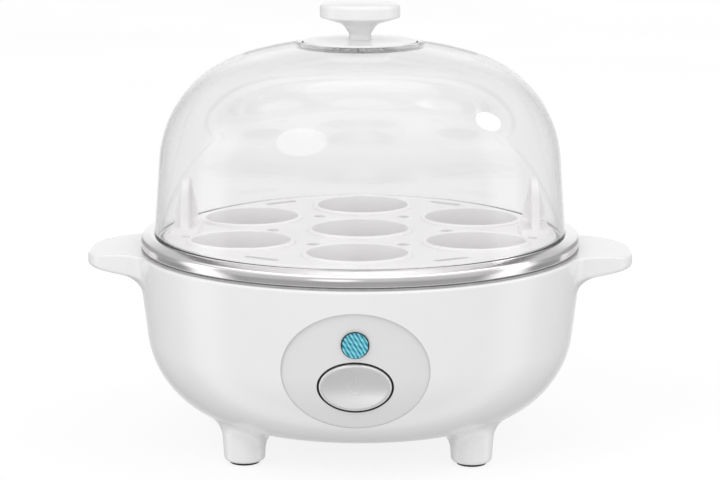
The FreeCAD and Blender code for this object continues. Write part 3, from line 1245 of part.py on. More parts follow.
def make_switch():
    plate = new_body("switch_bracket")
    outline_sketch = new_sketch(plate, "plate_outline", "XZ_Plane", "rim_radius - plate_inset - plate_sheet")
    outline(outline_sketch, [
        (x + "plate_half_width", "button_height + " + y + "plate_half_height", "3")
        for x, y in (("", ""), ("-", ""), ("-", "-"), ("", "-"))
    ])
    circle(outline_sketch, "0", "button_height", "plunger_radius + plunger_gap")
    for side in ("", "-"):
        circle(outline_sketch, side + "post_x", "button_height", "plate_screw_radius + hole_gap")
    pad(plate, "plate_form", outline_sketch, "plate_sheet")

    screw = tool_body("bracket_screw")
    revolve(screw, "bracket_screw_form", screw_corners(
        "plate_screw_radius + plate_screw_overhang", "-plate_sheet - plate_screw_head", "-plate_sheet",
        "plate_screw_radius", "plate_screw_length"))
    drive_slot(screw, "bracket_screw_cross", "-plate_sheet - plate_screw_head", "plate_drive",
               "plate_drive_depth")
    place(screw, "post_x", "-(rim_radius - plate_inset)", "button_height", FACING_FRONT)
    group("bracket_screws", with_mirror_images(screw, ACROSS_X))

    back_of_plate = "(rim_radius - plate_inset - plate_sheet)"
    body = new_body("switch_body")
    case = new_sketch(body, "switch_outline", "XZ_Plane", back_of_plate + " - switch_depth")
    outline(case, [
        (x + "switch_half_width", "button_height + " + y + "switch_half_height", "1")
        for x, y in (("", ""), ("-", ""), ("-", "-"), ("", "-"))
    ])
    pad(body, "switch_case", case, "switch_depth")
    well = new_sketch(body, "plunger_well_outline", "XZ_Plane", back_of_plate)
    circle(well, "0", "button_height", "plunger_radius + plunger_gap")
    pocket(body, "plunger_well", well, "plunger_length")

    plunger = turned("switch_plunger", [
        ("0", "0"), ("plunger_radius", "0"), ("plunger_radius", "plunger_length", "0.5"),
        ("0", "plunger_length"),
    ])
    place(plunger, "0", "-(%s - plunger_length)" % PLUNGER_TIP, "button_height", FACING_FRONT)

    tabs = new_body("switch_tabs")
    blades = new_sketch(tabs, "switch_tab_outline", "XZ_Plane", back_of_plate + " - switch_depth")
    for side in ("", "-"):
        rectangle(blades, side + "blade_offset - tab_blade_thickness / 2",
                  side + "blade_offset + tab_blade_thickness / 2",
                  "button_height - tab_blade_width / 2", "button_height + tab_blade_width / 2")
    pad(tabs, "switch_tab_form", blades, "tab_blade_length", backwards=True)


def make_button_spring():
    """Helical spring between the plate and the button's flange, round the stem."""
    length = size(SPRING_ROOM)
    wire = size("spring_wire_radius")
    turns = size("spring_turns")
    rise = length - 2 * wire
    helix = Part.makeHelix(rise / turns, rise, size("spring_radius"))
    start = Vector(size("spring_radius"), 0, 0)
    section = Part.Wire([Part.makeCircle(wire, start, Vector(0, 1, 0))])
    coil = Part.Wire(helix.Edges).makePipeShell([section], True, True)
    spring = doc.addObject("Part::Feature", "button_spring")
    spring.Label = "button_spring"
    spring.Shape = coil
    PARTS.append(spring)
    place(spring, "0", "-(rim_radius - plate_inset) - spring_wire_radius", "button_height", FACING_FRONT)


# ---- electrics on the cover and in the wall ----

def make_control_board():
    board = new_body("control_board")
    plan = new_sketch(board, "board_outline", "XY_Plane", "board_bottom")
    outline(plan, [
        (x + "board_half_length", "board_y + " + y + "board_half_width", "1")
        for x, y in (("", ""), ("-", ""), ("-", "-"), ("", "-"))
    ])
    pad(board, "board_form", plan, "board_thickness")
    parts = new_sketch(board, "component_outline", "XY_Plane", "board_bottom + board_thickness")
    rectangle(parts, "5", "12", "board_y - 5", "board_y - 2.5")
    rectangle(parts, "5", "12", "board_y + 2", "board_y + 4")
    pad(board, "components", parts, "2.5")
    buzzer = turned("buzzer", [
        ("0", "0"), ("buzzer_radius", "0"), ("buzzer_radius", "buzzer_height", "0.6"),
        ("1", "buzzer_height"), ("1", "buzzer_height - 1.5"), ("0", "buzzer_height - 1.5"),
    ])
    place(buzzer, "-board_half_length / 2", "board_y", "board_bottom + board_thickness")


def make_indicator_lamp():
    foot_radius = "lamp_radius + lamp_foot_margin"
    body = turned("indicator_lamp", [
        ("0", "-lamp_gap - lamp_length - lamp_foot"), (foot_radius, "-lamp_gap - lamp_length - lamp_foot"),
        (foot_radius, "-lamp_gap - lamp_length"), ("lamp_radius", "-lamp_gap - lamp_length"),
        ("lamp_radius", "-lamp_gap", "lamp_radius * 0.8"), ("0", "-lamp_gap"),
    ])
    place(body, "0", "-(rim_radius - lens_seat_inset)", "lens_height", FACING_FRONT)


def make_terminal_block():
    body = new_body("terminal_block")
    level = "base_height + cover_thickness + block_rest"
    plan = new_sketch(body, "block_outline", "XY_Plane", level)
    rectangle(plan, "-block_half_length", "block_half_length",
              "block_y - block_half_width", "block_y + block_half_width")
    pad(body, "block_form", plan, "block_height")
    ways = new_sketch(body, "way_outline", "XZ_Plane", "-(block_y - block_half_width)")
    wells = new_sketch(body, "screw_well_outline", "XY_Plane", level + " + block_height")
    for side in ("", "-"):
        circle(ways, side + "block_half_length / 2", level + " + block_height / 2",
               "block_way_radius")
        circle(wells, side + "block_half_length / 2", "block_y", "block_well_radius")
    pocket(body, "ways", ways, "2 * block_half_width")
    pocket(body, "screw_wells", wells, "block_height / 2 - 1.5")
    screw = tool_body("block_screw")
    radius = "block_well_radius - block_screw_gap"
    revolve(screw, "block_screw_form", [
        ("0", "0"), (radius, "0"), (radius, "block_screw_length", "0.3"), ("0", "block_screw_length"),
    ])
    slot = new_sketch(screw, "block_screw_slot_outline", "XY_Plane", "block_screw_length")
    rectangle(slot, lowered(radius), radius, "-drive_half_width", "drive_half_width")
    pocket(screw, "block_screw_slot", slot, "block_screw_length / 3")
    place(screw, "block_half_length / 2", "block_y", level + " + block_height / 2 + block_screw_height")
    group("block_screws", with_mirror_images(screw, ACROSS_X))


def make_cord_gland():
    """Turned round its own axis, which points at the back; its flange's seat is at zero."""
    gland = turned("cord_gland", [
        ("gland_bore_radius", "-gland_barrel_length"), ("gland_barrel_radius", "-gland_barrel_length", "0.5"),
        ("gland_barrel_radius", "0"), ("gland_flange_radius", "0"),
        ("gland_flange_radius", "gland_flange_thickness", "0.8"),
        ("gland_bore_radius", "gland_flange_thickness", "0.8"),
    ])
    place(gland, "0", "gland_boss_face", "gland_height", FACING_BACK)
    nut = new_body("gland_nut")
    shape = new_sketch(nut, "gland_nut_outline", "XY_Plane")
    hexagon_corners(shape, "gland_nut_radius")
    circle(shape, "0", "0", "gland_barrel_radius")
    pad(nut, "gland_nut_form", shape, "gland_nut_thickness")
    place(nut, "0", "gland_boss_inner", "gland_height", FACING_FRONT)


# ---- leads inside the base ----

def bend_path(points):
    """Straight runs between the points, joined by arcs as large as the runs allow."""
    edges = []
    start = points[0]
    for before, corner, after in zip(points, points[1:], points[2:]):
        back, ahead = (before - corner), (after - corner)
        setback = 0.45 * min(back.Length, ahead.Length)
        back.normalize()
        ahead.normalize()
        enter, leave = corner + back * setback, corner + ahead * setback
        half = back.getAngle(ahead) / 2
        radius = setback * math.tan(half)
        bisector = (back + ahead).normalize()
        middle = corner + bisector * (radius / math.sin(half) - radius)
        edges.append(Part.LineSegment(start, enter).toShape())
        edges.append(Part.Arc(enter, middle, leave).toShape())
        print("lead bend radius %.1f" % radius)
        start = leave
    edges.append(Part.LineSegment(start, points[-1]).toShape())
    return Part.Wire(edges)


def make_lead(label, places):
    """An insulated lead along a route given as expressions."""
    points = [Vector(*(size(text) for text in spot)) for spot in places]
    section = Part.Wire([Part.makeCircle(size("lead_radius"), points[0], points[1] - points[0])])
    lead = doc.addObject("Part::Feature", label)
    lead.Label = label
    lead.Shape = bend_path(points).makePipeShell([section], True, True)
    lead.Placement = Placement()
    PARTS.append(lead)


def make_leads():
    switch_tab_end = "-(rim_radius - plate_inset - plate_sheet - switch_depth - tab_blade_length)"
    thermostat_tab_end = "%s - thermostat_body_length - tab_blade_length" % BRACKET_UNDERSIDE
    fuse_height = "%s - fuse_radius" % SPREADER_UNDERSIDE
    way_height = "base_height + cover_thickness + block_rest + block_height / 2"
    half_gap = "(heater_gap_angle / 2)"
    blade_x = "(heater_ring_radius * sin%s - heater_pin_length * cos%s)" % (half_gap, half_gap)
    blade_y = "(heater_ring_radius * cos%s + heater_pin_length * sin%s)" % (half_gap, half_gap)
    lamp_back = "-(rim_radius - lens_seat_inset - lamp_gap - lamp_length - lamp_foot)"
    fuse_end = "(fuse_length / 2 + fuse_wire_length)"
    board_top = "board_bottom + board_thickness"
    way_x = "block_half_length / 2"
    make_lead("lead_live", [
        (way_x, "block_y - block_half_width", way_height), ("5.6", "2", "20.5"), ("6.2", "-8", "28"),
        ("5.6", "-20", "33"), ("4", "-31", "button_height"), ("4", switch_tab_end, "button_height"),
    ])
    make_lead("lead_switched", [
        ("-4", switch_tab_end, "button_height"), ("-4", "-31", "button_height"), ("-4.6", "-21", "32"),
        ("-2", "-11", "28.5"), ("0", "-4", "28.8"), ("0", "-4", thermostat_tab_end),
    ])
    make_lead("lead_fuse", [
        ("0", "4", thermostat_tab_end), ("0", "4", "29"), ("4.5", "9.5", "27.6"), ("10.5", "15", "33"),
        ("16.4", "18.8", "42"), ("15.4", "fuse_y", fuse_height), (fuse_end, "fuse_y", fuse_height),
    ])
    make_lead("lead_heater", [
        ("-" + fuse_end, "fuse_y", fuse_height), ("-15", "fuse_y", fuse_height), ("-15.4", "22.6", "45"),
        ("-9.6", "28", "42.5"), ("-6", "33.6", "45"),
        ("-%s + 4.4" % blade_x, blade_y + " + 3.3", TUBE_HEIGHT),
        ("-" + blade_x, blade_y, TUBE_HEIGHT),
    ])
    make_lead("lead_neutral", [
        (blade_x, blade_y, TUBE_HEIGHT), (blade_x + " - 4.4", blade_y + " + 3.3", TUBE_HEIGHT),
        ("4.6", "37", "43"), ("1.4", "36.5", "35"), ("-2.6", "34.5", "27.6"), ("-5.4", "30.5", "20.4"),
        ("-" + way_x, "block_y + block_half_width", way_height),
    ])
    for hand, side in (("left", "-"), ("right", "")):
        make_lead("lead_lamp_" + hand, [
            (side + "1.6", lamp_back, "lens_height"), (side + "1.6", "-55.4", "lens_height"),
            (side + "6", "-48.6", "48"), (side + "11.2", "-42", "42.5"), (side + "12.6", "-35", "36"),
            (side + "13.2", "-26", "29"),
            (side + "13.2", "-26", board_top),
        ])


# ---- build, check and write ----

for make in (
    make_body_shell, make_foot_pads, make_bottom_cover, make_cover_screws, make_tie_screws,
    make_heating_pan, make_pan_seal, make_heat_spreader, make_heater_tube, make_heater_terminals,
    make_pan_bracket, make_studs_and_nuts, make_thermostat, make_thermal_fuse,
    make_egg_tray, make_lid_dome, make_lid_knob, make_knob_screw,
    make_indicator_lens, make_power_button, make_switch, make_button_spring,
    make_control_board, make_indicator_lamp, make_terminal_block, make_cord_gland, make_leads,
):
    make()
doc.recompute()

for item in doc.Objects:
    if {"Invalid", "Error"} & set(item.State):
        raise RuntimeError("%s failed: %s" % (item.Name, item.State))
for part in PARTS:
    if part.Shape.isNull() or not part.Shape.isValid():
        raise RuntimeError("%s has no valid shape" % part.Label)

os.makedirs("parts", exist_ok=True)
for part in PARTS:
    part.Shape.exportStep("parts/%s.step" % part.Label)
print("%d parts written" % len(PARTS))
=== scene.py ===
# Egg cooker: surfaces, finishes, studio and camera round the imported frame. Metres, +Z up, panel towards -Y.

import json
import math

import bmesh
import bpy
from mathutils import Matrix, Vector
from mathutils.bvhtree import BVHTree


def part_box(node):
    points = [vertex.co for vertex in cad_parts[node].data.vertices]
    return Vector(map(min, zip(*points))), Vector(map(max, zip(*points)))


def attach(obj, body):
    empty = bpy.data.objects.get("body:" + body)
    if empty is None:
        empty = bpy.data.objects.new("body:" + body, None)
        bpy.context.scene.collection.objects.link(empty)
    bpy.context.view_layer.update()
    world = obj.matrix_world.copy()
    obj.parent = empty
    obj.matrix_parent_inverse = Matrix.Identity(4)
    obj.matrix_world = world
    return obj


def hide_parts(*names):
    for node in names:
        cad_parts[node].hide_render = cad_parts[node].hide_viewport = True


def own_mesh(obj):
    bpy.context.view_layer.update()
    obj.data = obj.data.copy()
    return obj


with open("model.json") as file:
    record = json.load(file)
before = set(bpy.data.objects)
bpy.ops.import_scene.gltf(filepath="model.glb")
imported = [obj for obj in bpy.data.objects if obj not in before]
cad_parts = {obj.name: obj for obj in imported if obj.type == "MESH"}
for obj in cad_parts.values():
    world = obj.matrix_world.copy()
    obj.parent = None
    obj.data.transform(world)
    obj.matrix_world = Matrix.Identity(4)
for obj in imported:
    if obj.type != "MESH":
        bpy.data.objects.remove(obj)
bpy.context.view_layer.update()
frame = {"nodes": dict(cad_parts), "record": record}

NODES = frame["nodes"]
MM = 0.001

# ---- finishes ----

SOCKETS = {
    "colour": "Base Color", "metal": "Metallic", "ior": "IOR", "clear": "Transmission Weight",
    "coat": "Coat Weight", "specular": "Specular IOR Level", "rough": "Roughness",
}


def shader_node(tree, kind, inputs, **settings):
    """A shader node whose inputs are values or other nodes' outputs; gives its first output."""
    made = tree.nodes.new("ShaderNode" + kind)
    for word, value in settings.items():
        setattr(made, word, value)
    for key, value in inputs.items():
        if isinstance(value, bpy.types.NodeSocket):
            tree.links.new(value, made.inputs[key])
        else:
            made.inputs[key].default_value = value
    return made.outputs[0]


class Finish:
    """A procedural finish: one shader, and patterns in metres from the piece's middle that vary it."""

    def __init__(self, name, centre, **constants):
        self.material = bpy.data.materials.new(name)
        self.material.use_nodes = True
        self.tree = self.material.node_tree
        self.shader = self.tree.nodes["Principled BSDF"]
        for word, value in constants.items():
            self.shader.inputs[SOCKETS[word]].default_value = (*value, 1) if word == "colour" else value
        own = self.tree.nodes.new("ShaderNodeTexCoord").outputs["Object"]
        self.place = self.vector("SUBTRACT", own, tuple(centre))

    def node(self, kind, inputs, **settings):
        return shader_node(self.tree, kind, inputs, **settings)

    def vector(self, operation, first, second=(0, 0, 0)):
        return self.node("VectorMath", {0: first, 1: second}, operation=operation)

    def grain(self, size, detail=3.0, stretch=(1, 1, 1), place=None):
        """Noise whose features are about size metres, longer along an axis with a small stretch."""
        place = self.vector("MULTIPLY", place or self.place, tuple(s / size for s in stretch))
        return self.node("TexNoise", {"Vector": place, "Scale": 1.0, "Detail": detail, "Roughness": 0.55})

    def pits(self, size):
        """Rounded cells about size metres wide, for spark-eroded and cast skins."""
        place = self.vector("MULTIPLY", self.place, (1 / size, 1 / size, 1 / size))
        return self.node("TexVoronoi", {"Vector": place, "Scale": 1.0}, feature="SMOOTH_F1")

    def around(self):
        """The place as distance from the upright axis and height, for turned metal."""
        radius = self.vector("LENGTH", self.vector("MULTIPLY", self.place, (1, 1, 0))).node.outputs["Value"]
        height = self.node("SeparateXYZ", {0: self.place}).node.outputs["Z"]
        return self.node("CombineXYZ", {0: radius, 1: height})

    def tint(self, pattern, dark, light, start=0.3, end=0.7):
        """Base colour between two tones, by the pattern."""
        ramp = self.tree.nodes.new("ShaderNodeValToRGB")
        for stop, place, tone in zip(ramp.color_ramp.elements, (start, end), (dark, light)):
            stop.position = place
            stop.color = (*tone, 1)
        self.tree.links.new(pattern, ramp.inputs[0])
        self.tree.links.new(ramp.outputs[0], self.shader.inputs["Base Color"])

    def gloss(self, pattern, smooth, rough):
        """Roughness between two values, by the pattern."""
        spread = self.node("MapRange", {0: pattern, 1: 0.3, 2: 0.7, 3: smooth, 4: rough})
        self.tree.links.new(spread, self.shader.inputs["Roughness"])

    def relief(self, pattern, depth):
        """Raise the surface by depth metres where the pattern is high, on top of earlier relief."""
        bump = self.tree.nodes.new("ShaderNodeBump")
        bump.inputs["Distance"].default_value = depth
        self.tree.links.new(pattern, bump.inputs["Height"])
        below = self.shader.inputs["Normal"]
        if below.is_linked:
            self.tree.links.new(below.links[0].from_socket, bump.inputs["Normal"])
        self.tree.links.new(bump.outputs[0], below)


def glossy_plastic(name, centre, dark, light, smooth=0.2, rough=0.3, wave=0.00002, **constants):
    """Moulded plastic: soft mottling, faint haze and the slight waviness of a moulded skin."""
    made = Finish(name, centre, ior=1.5, **constants)
    made.tint(made.grain(0.035, 4), dark, light)
    made.gloss(made.grain(0.012, 5), smooth, rough)
    made.relief(made.grain(0.0012, 2), wave / 10)
    made.relief(made.grain(0.02, 2), wave)
    return made


def moulded_shell(name, centre, dark, light, **constants):
    """Glossy moulded plastic, with a satin area inside the outline of the control panel whose colour is
    darkened by painted shade.
    """
    made = glossy_plastic(name, centre, dark, light, smooth=0.22, rough=0.26, **constants)
    own = made.vector("ADD", made.place, tuple(centre))
    across = made.vector("MULTIPLY", made.vector("SUBTRACT", own, (0, 0, PANEL_MIDDLE)),
                         (1 / PANEL_HALVES[0], 0, 1 / PANEL_HALVES[1]))
    away = made.vector("LENGTH", across).node.outputs["Value"]
    depth = made.node("SeparateXYZ", {0: own}).node.outputs["Y"]
    inside = made.node("Math", {0: made.node("Math", {0: away, 1: 1.0}, operation="LESS_THAN"),
                                1: made.node("Math", {0: depth, 1: 0.0}, operation="LESS_THAN")},
                       operation="MULTIPLY")
    # Painted shade: the panel area's base colour is the shell's light tone scaled down.
    panel_shaded_colour = tuple(tone * PANEL_SHADE_TONE for tone in light) + (1,)
    for socket, inset in (("Base Color", panel_shaded_colour), ("Roughness", PANEL_ROUGHNESS)):
        kind, first, second = ("RGBA", 6, 7) if socket == "Base Color" else ("FLOAT", 2, 3)
        skin = made.shader.inputs[socket].links[0].from_socket
        blend = made.node("Mix", {0: inside, first: skin, second: inset}, data_type=kind)
        result = blend.node.outputs[2 if kind == "RGBA" else 0]
        made.tree.links.new(result, made.shader.inputs[socket])
    return made


def jewel_plastic(name, centre, dark, light, **constants):
    """Tinted lens plastic, with painted shade in the furrows between its ribs and painted highlights on their
    crests.
    """
    made = Finish(name, centre, ior=1.49, coat=0.5, **constants)
    painted_rib_light = None
    # Painted light: the tint follows the ribs, darker in the furrows as shade and paler on the crests as
    # highlights.
    for (x, z), pitch in LENS_RIBS:
        across = made.vector("DOT_PRODUCT", made.place, (x, 0, z)).node.outputs["Value"]
        turns = made.node("Math", {0: across, 1: pitch * MM}, operation="DIVIDE")
        wave = made.node("Math", {0: turns, 1: 0.5}, operation="PINGPONG")
        if painted_rib_light is None:
            painted_rib_light = wave
        else:
            painted_rib_light = made.node("Math", {0: wave, 1: 0.35, 2: painted_rib_light}, operation="MULTIPLY_ADD")
    mottle_and_rib_light = made.node("Math", {0: made.grain(0.0015, 4), 1: 0.3, 2: painted_rib_light}, operation="MULTIPLY_ADD")
    made.tint(mottle_and_rib_light, dark, light, 0.22, 0.78)
    made.gloss(made.grain(0.002, 4), 0.06, 0.16)
    return made


def grained_plastic(name, centre, dark, light, size=0.0006, depth=0.00002, rough=0.5, **constants):
    """Spark-eroded plastic: an even fine grain of small pits."""
    made = Finish(name, centre, ior=1.48, **constants)
    made.tint(made.grain(0.01, 5), dark, light)
    made.gloss(made.grain(size * 3, 4), rough - 0.08, rough + 0.1)
    made.relief(made.pits(size), depth)
    made.relief(made.grain(size * 20, 2), depth)
    return made


def turned_metal(name, centre, dark, light, smooth=0.2, rough=0.32, line=0.0003, depth=0.000004,
                 **constants):
    """Spun or turned metal: fine lines that run round the axis, and a little staining."""
    made = Finish(name, centre, metal=1.0, **constants)
    lines = made.grain(line, 5, place=made.around())
    stains = made.grain(0.02, 4)
    made.tint(made.node("Math", {0: lines, 1: stains}, operation="MULTIPLY"), dark, light, 0.12, 0.4)
    made.gloss(lines, smooth, rough)
    made.relief(lines, depth)
    return made


def rolled_metal(name, centre, dark, light, smooth=0.25, rough=0.42, along=(0.05, 1, 1), **constants):
    """Sheet or drawn metal: fine drawn lines and blotches of plating."""
    made = Finish(name, centre, metal=1.0, **constants)
    lines = made.grain(0.0004, 4, stretch=along)
    made.tint(made.grain(0.004, 5), dark, light)
    made.gloss(lines, smooth, rough)
    made.relief(lines, 0.000006)
    return made


def rubber(name, centre, dark, light, rough=0.6, **constants):
    """Moulded rubber: a dull skin with a fine bloom."""
    made = Finish(name, centre, ior=1.5, **constants)
    made.tint(made.grain(0.003, 5), dark, light)
    made.gloss(made.grain(0.001, 3), rough - 0.1, rough + 0.12)
    made.relief(made.pits(0.0005), 0.00001)
    return made


def braided_sleeve(name, centre, dark, light, **constants):
    """Woven glass-fibre sleeve: fine threads that cross."""
    made = Finish(name, centre, ior=1.5, **constants)
    place = made.vector("MULTIPLY", made.place, (THREADS_PER_METRE,) * 3)
    threads = made.node("TexWave", {"Vector": place, "Scale": 1.0, "Distortion": 2.0, "Detail": 2.0},
                        bands_direction="DIAGONAL")
    made.tint(threads, dark, light, 0.2, 0.8)
    made.gloss(threads, 0.6, 0.8)
    made.relief(threads, 0.00005)
    return made


def clear_plastic(name, centre, tone, smooth=0.0, rough=0.03, **constants):
    """Clear moulded plastic: faint flow lines, and a haze that comes and goes."""
    made = Finish(name, centre, colour=tone, clear=1.0, **constants)
    made.gloss(made.grain(0.03, 4), smooth, rough)
    made.relief(made.grain(0.02, 2, stretch=(1, 1, 0.4)), 0.00002)
    return made


LENS_RIBS = (((0.86, 0.51), 1.15), ((0.35, 0.94), 1.7))
PANEL_MIDDLE = 0.042
PANEL_HALVES = (0.0244, 0.0204)
# Painted shade: how much darker the panel area's colour is than the shell.
PANEL_SHADE_TONE = 0.87
PANEL_ROUGHNESS = 0.4
THREADS_PER_METRE = 1500
RECIPES = {
    "white_shell": (moulded_shell, {"dark": (0.805, 0.797, 0.80), "light": (0.825, 0.817, 0.82),
                                    "coat": 0.15}),
    "white_tray": (glossy_plastic, {"dark": (0.845, 0.835, 0.835), "light": (0.88, 0.87, 0.87),
                                    "smooth": 0.28, "rough": 0.38}),
    "clear_lid": (clear_plastic, {"tone": (0.972, 0.968, 0.97), "ior": 1.57}),
    "white_knob": (glossy_plastic, {"dark": (0.78, 0.775, 0.775), "light": (0.82, 0.815, 0.815),
                                    "smooth": 0.12, "rough": 0.22}),
    "pan_steel": (turned_metal, {"dark": (0.80, 0.785, 0.785), "light": (0.90, 0.885, 0.885),
                                 "smooth": 0.13, "rough": 0.19, "line": 0.0005, "depth": 0.000001}),
    "silver_button": (glossy_plastic, {"dark": (0.79, 0.78, 0.785), "light": (0.85, 0.84, 0.845),
                                       "smooth": 0.26, "rough": 0.36, "metal": 0.6}),
    # Over the lens's blue tint, the dark tone is painted shade in the rib furrows and the light tone is
    # painted highlight on the crests.
    "blue_lens": (jewel_plastic, {"dark": (0.0, 0.16, 0.26), "light": (0.24, 0.78, 0.88)}),
    "black_rubber": (rubber, {"dark": (0.012, 0.012, 0.013), "light": (0.022, 0.022, 0.023)}),
    "grey_silicone": (rubber, {"dark": (0.32, 0.32, 0.32), "light": (0.40, 0.40, 0.40), "rough": 0.45}),
    "grey_plastic": (grained_plastic, {"dark": (0.56, 0.56, 0.56), "light": (0.62, 0.62, 0.62)}),
    "black_plastic": (grained_plastic, {"dark": (0.02, 0.02, 0.021), "light": (0.035, 0.035, 0.036),
                                        "rough": 0.42}),
    "zinc_steel": (rolled_metal, {"dark": (0.46, 0.46, 0.44), "light": (0.62, 0.62, 0.60)}),
    "aluminium": (turned_metal, {"dark": (0.62, 0.62, 0.63), "light": (0.74, 0.74, 0.75),
                                 "smooth": 0.3, "rough": 0.45}),
    "tube_steel": (rolled_metal, {"dark": (0.16, 0.13, 0.11), "light": (0.34, 0.30, 0.26),
                                  "smooth": 0.35, "rough": 0.5}),
    "brass_blade": (rolled_metal, {"dark": (0.58, 0.50, 0.32), "light": (0.72, 0.66, 0.48),
                                   "smooth": 0.22, "rough": 0.36}),
    "ceramic": (glossy_plastic, {"dark": (0.70, 0.67, 0.60), "light": (0.78, 0.75, 0.68), "rough": 0.35}),
    "board_green": (grained_plastic, {"dark": (0.02, 0.14, 0.06), "light": (0.03, 0.20, 0.09),
                                      "rough": 0.35}),
    "lamp_glass": (clear_plastic, {"tone": (0.98, 0.85, 0.72), "ior": 1.5}),
    "lead_insulation": (braided_sleeve, {"dark": (0.50, 0.49, 0.45), "light": (0.74, 0.73, 0.70)}),
    "nylon": (glossy_plastic, {"dark": (0.74, 0.72, 0.66), "light": (0.80, 0.78, 0.72),
                               "smooth": 0.3, "rough": 0.45}),
}
SLOT_OF = {part["node"]: part["material_slot"] for part in frame["record"]["subparts"]}


def dress(piece, slot):
    """Give the piece a finish of its own, by the slot's recipe, its pattern centred on the piece."""
    maker, words = RECIPES[slot]
    middle = sum((Vector(corner) for corner in piece.bound_box), Vector()) / 8
    material = maker("%s of %s" % (slot, piece.name), middle, **words).material
    piece.data.materials.clear()
    piece.data.materials.append(material)


# ---- meshes ----

ARC_STEP = math.radians(5)
TURN_STEPS = 180
WIDE_TURN_STEPS = 240


def rounded(corners, closed):
    """Points of an outline whose corners are (x, y) or (x, y, rounding), round corners as arcs."""
    points = []
    for i, corner in enumerate(corners):
        here = Vector(corner[:2])
        inner = closed or 0 < i < len(corners) - 1
        if len(corner) < 3 or not inner:
            points.append(here)
            continue
        back = (Vector(corners[i - 1][:2]) - here).normalized()
        ahead = (Vector(corners[(i + 1) % len(corners)][:2]) - here).normalized()
        half = back.angle(ahead) / 2
        centre = here + (back + ahead).normalized() * corner[2] / math.sin(half)
        spoke = here + back * corner[2] / math.tan(half) - centre
        sweep = math.copysign(math.pi - 2 * half, ahead.x * back.y - ahead.y * back.x)
        steps = max(2, math.ceil(abs(sweep) / ARC_STEP))
        for step in range(steps + 1):
            points.append(centre + Matrix.Rotation(sweep * step / steps, 2) @ spoke)
    return points


def beside(corners, gap):
    """The corners of the line that runs beside an open outline, gap to its left."""
    points = [Vector(corner[:2]) for corner in corners]
    runs = [(b - a).normalized() for a, b in zip(points, points[1:])]
    normals = [Vector((-run.y, run.x)) for run in runs]
    moved = []
    for i, corner in enumerate(corners):
        if i in (0, len(corners) - 1):
            normal = normals[0] if i == 0 else normals[-1]
            steep = abs(normal.x) > abs(normal.y)
            shift = Vector((1 / normal.x, 0)) if steep else Vector((0, 1 / normal.y))
        else:
            shift = (normals[i - 1] + normals[i]) / (1 + normals[i - 1].dot(normals[i]))
        place = points[i] + shift * gap
        if len(corner) > 2:
            inside = shift.dot(runs[i] - runs[i - 1]) > 0
            place = (*place, corner[2] - gap if inside else corner[2] + gap)
        moved.append(tuple(place))
    return moved


def new_piece(name, data):
    """An object of this mesh or curve, in the scene."""
    piece = bpy.data.objects.new(name, data)
    bpy.context.scene.collection.objects.link(piece)
    return piece


def tidy_mesh(mesh, sharp=40, weld=0.000001):
    """Weld doubles, point the faces outwards and shade smooth between edges sharper than the angle."""
    grid = bmesh.new()
    grid.from_mesh(mesh)
    bmesh.ops.remove_doubles(grid, verts=grid.verts, dist=weld)
    bmesh.ops.dissolve_degenerate(grid, edges=grid.edges, dist=weld)
    bmesh.ops.recalc_face_normals(grid, faces=grid.faces)
    grid.to_mesh(mesh)
    grid.free()
    mesh.shade_smooth()
    mesh.set_sharp_from_angle(angle=math.radians(sharp))
    return mesh


def frozen(piece):
    """The piece's mesh with its modifiers worked out; the piece itself goes."""
    graph = bpy.context.evaluated_depsgraph_get()
    mesh = bpy.data.meshes.new_from_object(piece.evaluated_get(graph))
    bpy.data.objects.remove(piece)
    return mesh


def poly_line(name, points, closed=False):
    """A curve of straight runs through the points, which are in millimetres."""
    line = bpy.data.curves.new(name, "CURVE")
    line.dimensions = "3D"
    spline = line.splines.new("POLY")
    spline.points.add(len(points) - 1)
    for spot, point in zip(spline.points, points):
        spot.co = (*(Vector(point).to_3d() * MM), 1)
    spline.use_cyclic_u = closed
    return new_piece(name, line)


class Tree:
    """A Geometry Nodes tree with named inputs, for a modifier."""

    def __init__(self, name, **inputs):
        self.group = bpy.data.node_groups.new(name, "GeometryNodeTree")
        self.group.interface.new_socket("Geometry", in_out="INPUT", socket_type="NodeSocketGeometry")
        for word, kind in inputs.items():
            self.group.interface.new_socket(word, in_out="INPUT", socket_type="NodeSocket" + kind)
        self.group.interface.new_socket("Geometry", in_out="OUTPUT", socket_type="NodeSocketGeometry")
        self.given = self.group.nodes.new("NodeGroupInput").outputs

    def node(self, kind, inputs, **settings):
        made = self.group.nodes.new(kind)
        for word, value in settings.items():
            setattr(made, word, value)
        for key, value in inputs.items():
            if isinstance(value, bpy.types.NodeSocket):
                self.group.links.new(value, made.inputs[key])
            else:
                made.inputs[key].default_value = value
        return made.outputs[0]

    def maths(self, operation, first, second=0.0):
        return self.node("ShaderNodeMath", {0: first, 1: second}, operation=operation)

    def finish(self, geometry):
        """End the tree: real meshes, with the finish that the modifier names."""
        real = self.node("GeometryNodeRealizeInstances", {0: geometry})
        dressed = self.node("GeometryNodeSetMaterial", {"Geometry": real, "Material": self.given["Finish"]})
        self.group.links.new(dressed, self.group.nodes.new("NodeGroupOutput").inputs[0])
        return self

    def grow(self, name, base, **values):
        """A new piece: the tree's result on the base object with these inputs; the base goes."""
        modifier = base.modifiers.new(name, "NODES")
        modifier.node_group = self.group
        for item in self.group.interface.items_tree:
            if item.in_out == "INPUT" and item.name in values:
                modifier[item.identifier] = values[item.name]
        mesh = frozen(base)
        mesh.name = name
        return new_piece(name, tidy_mesh(mesh))


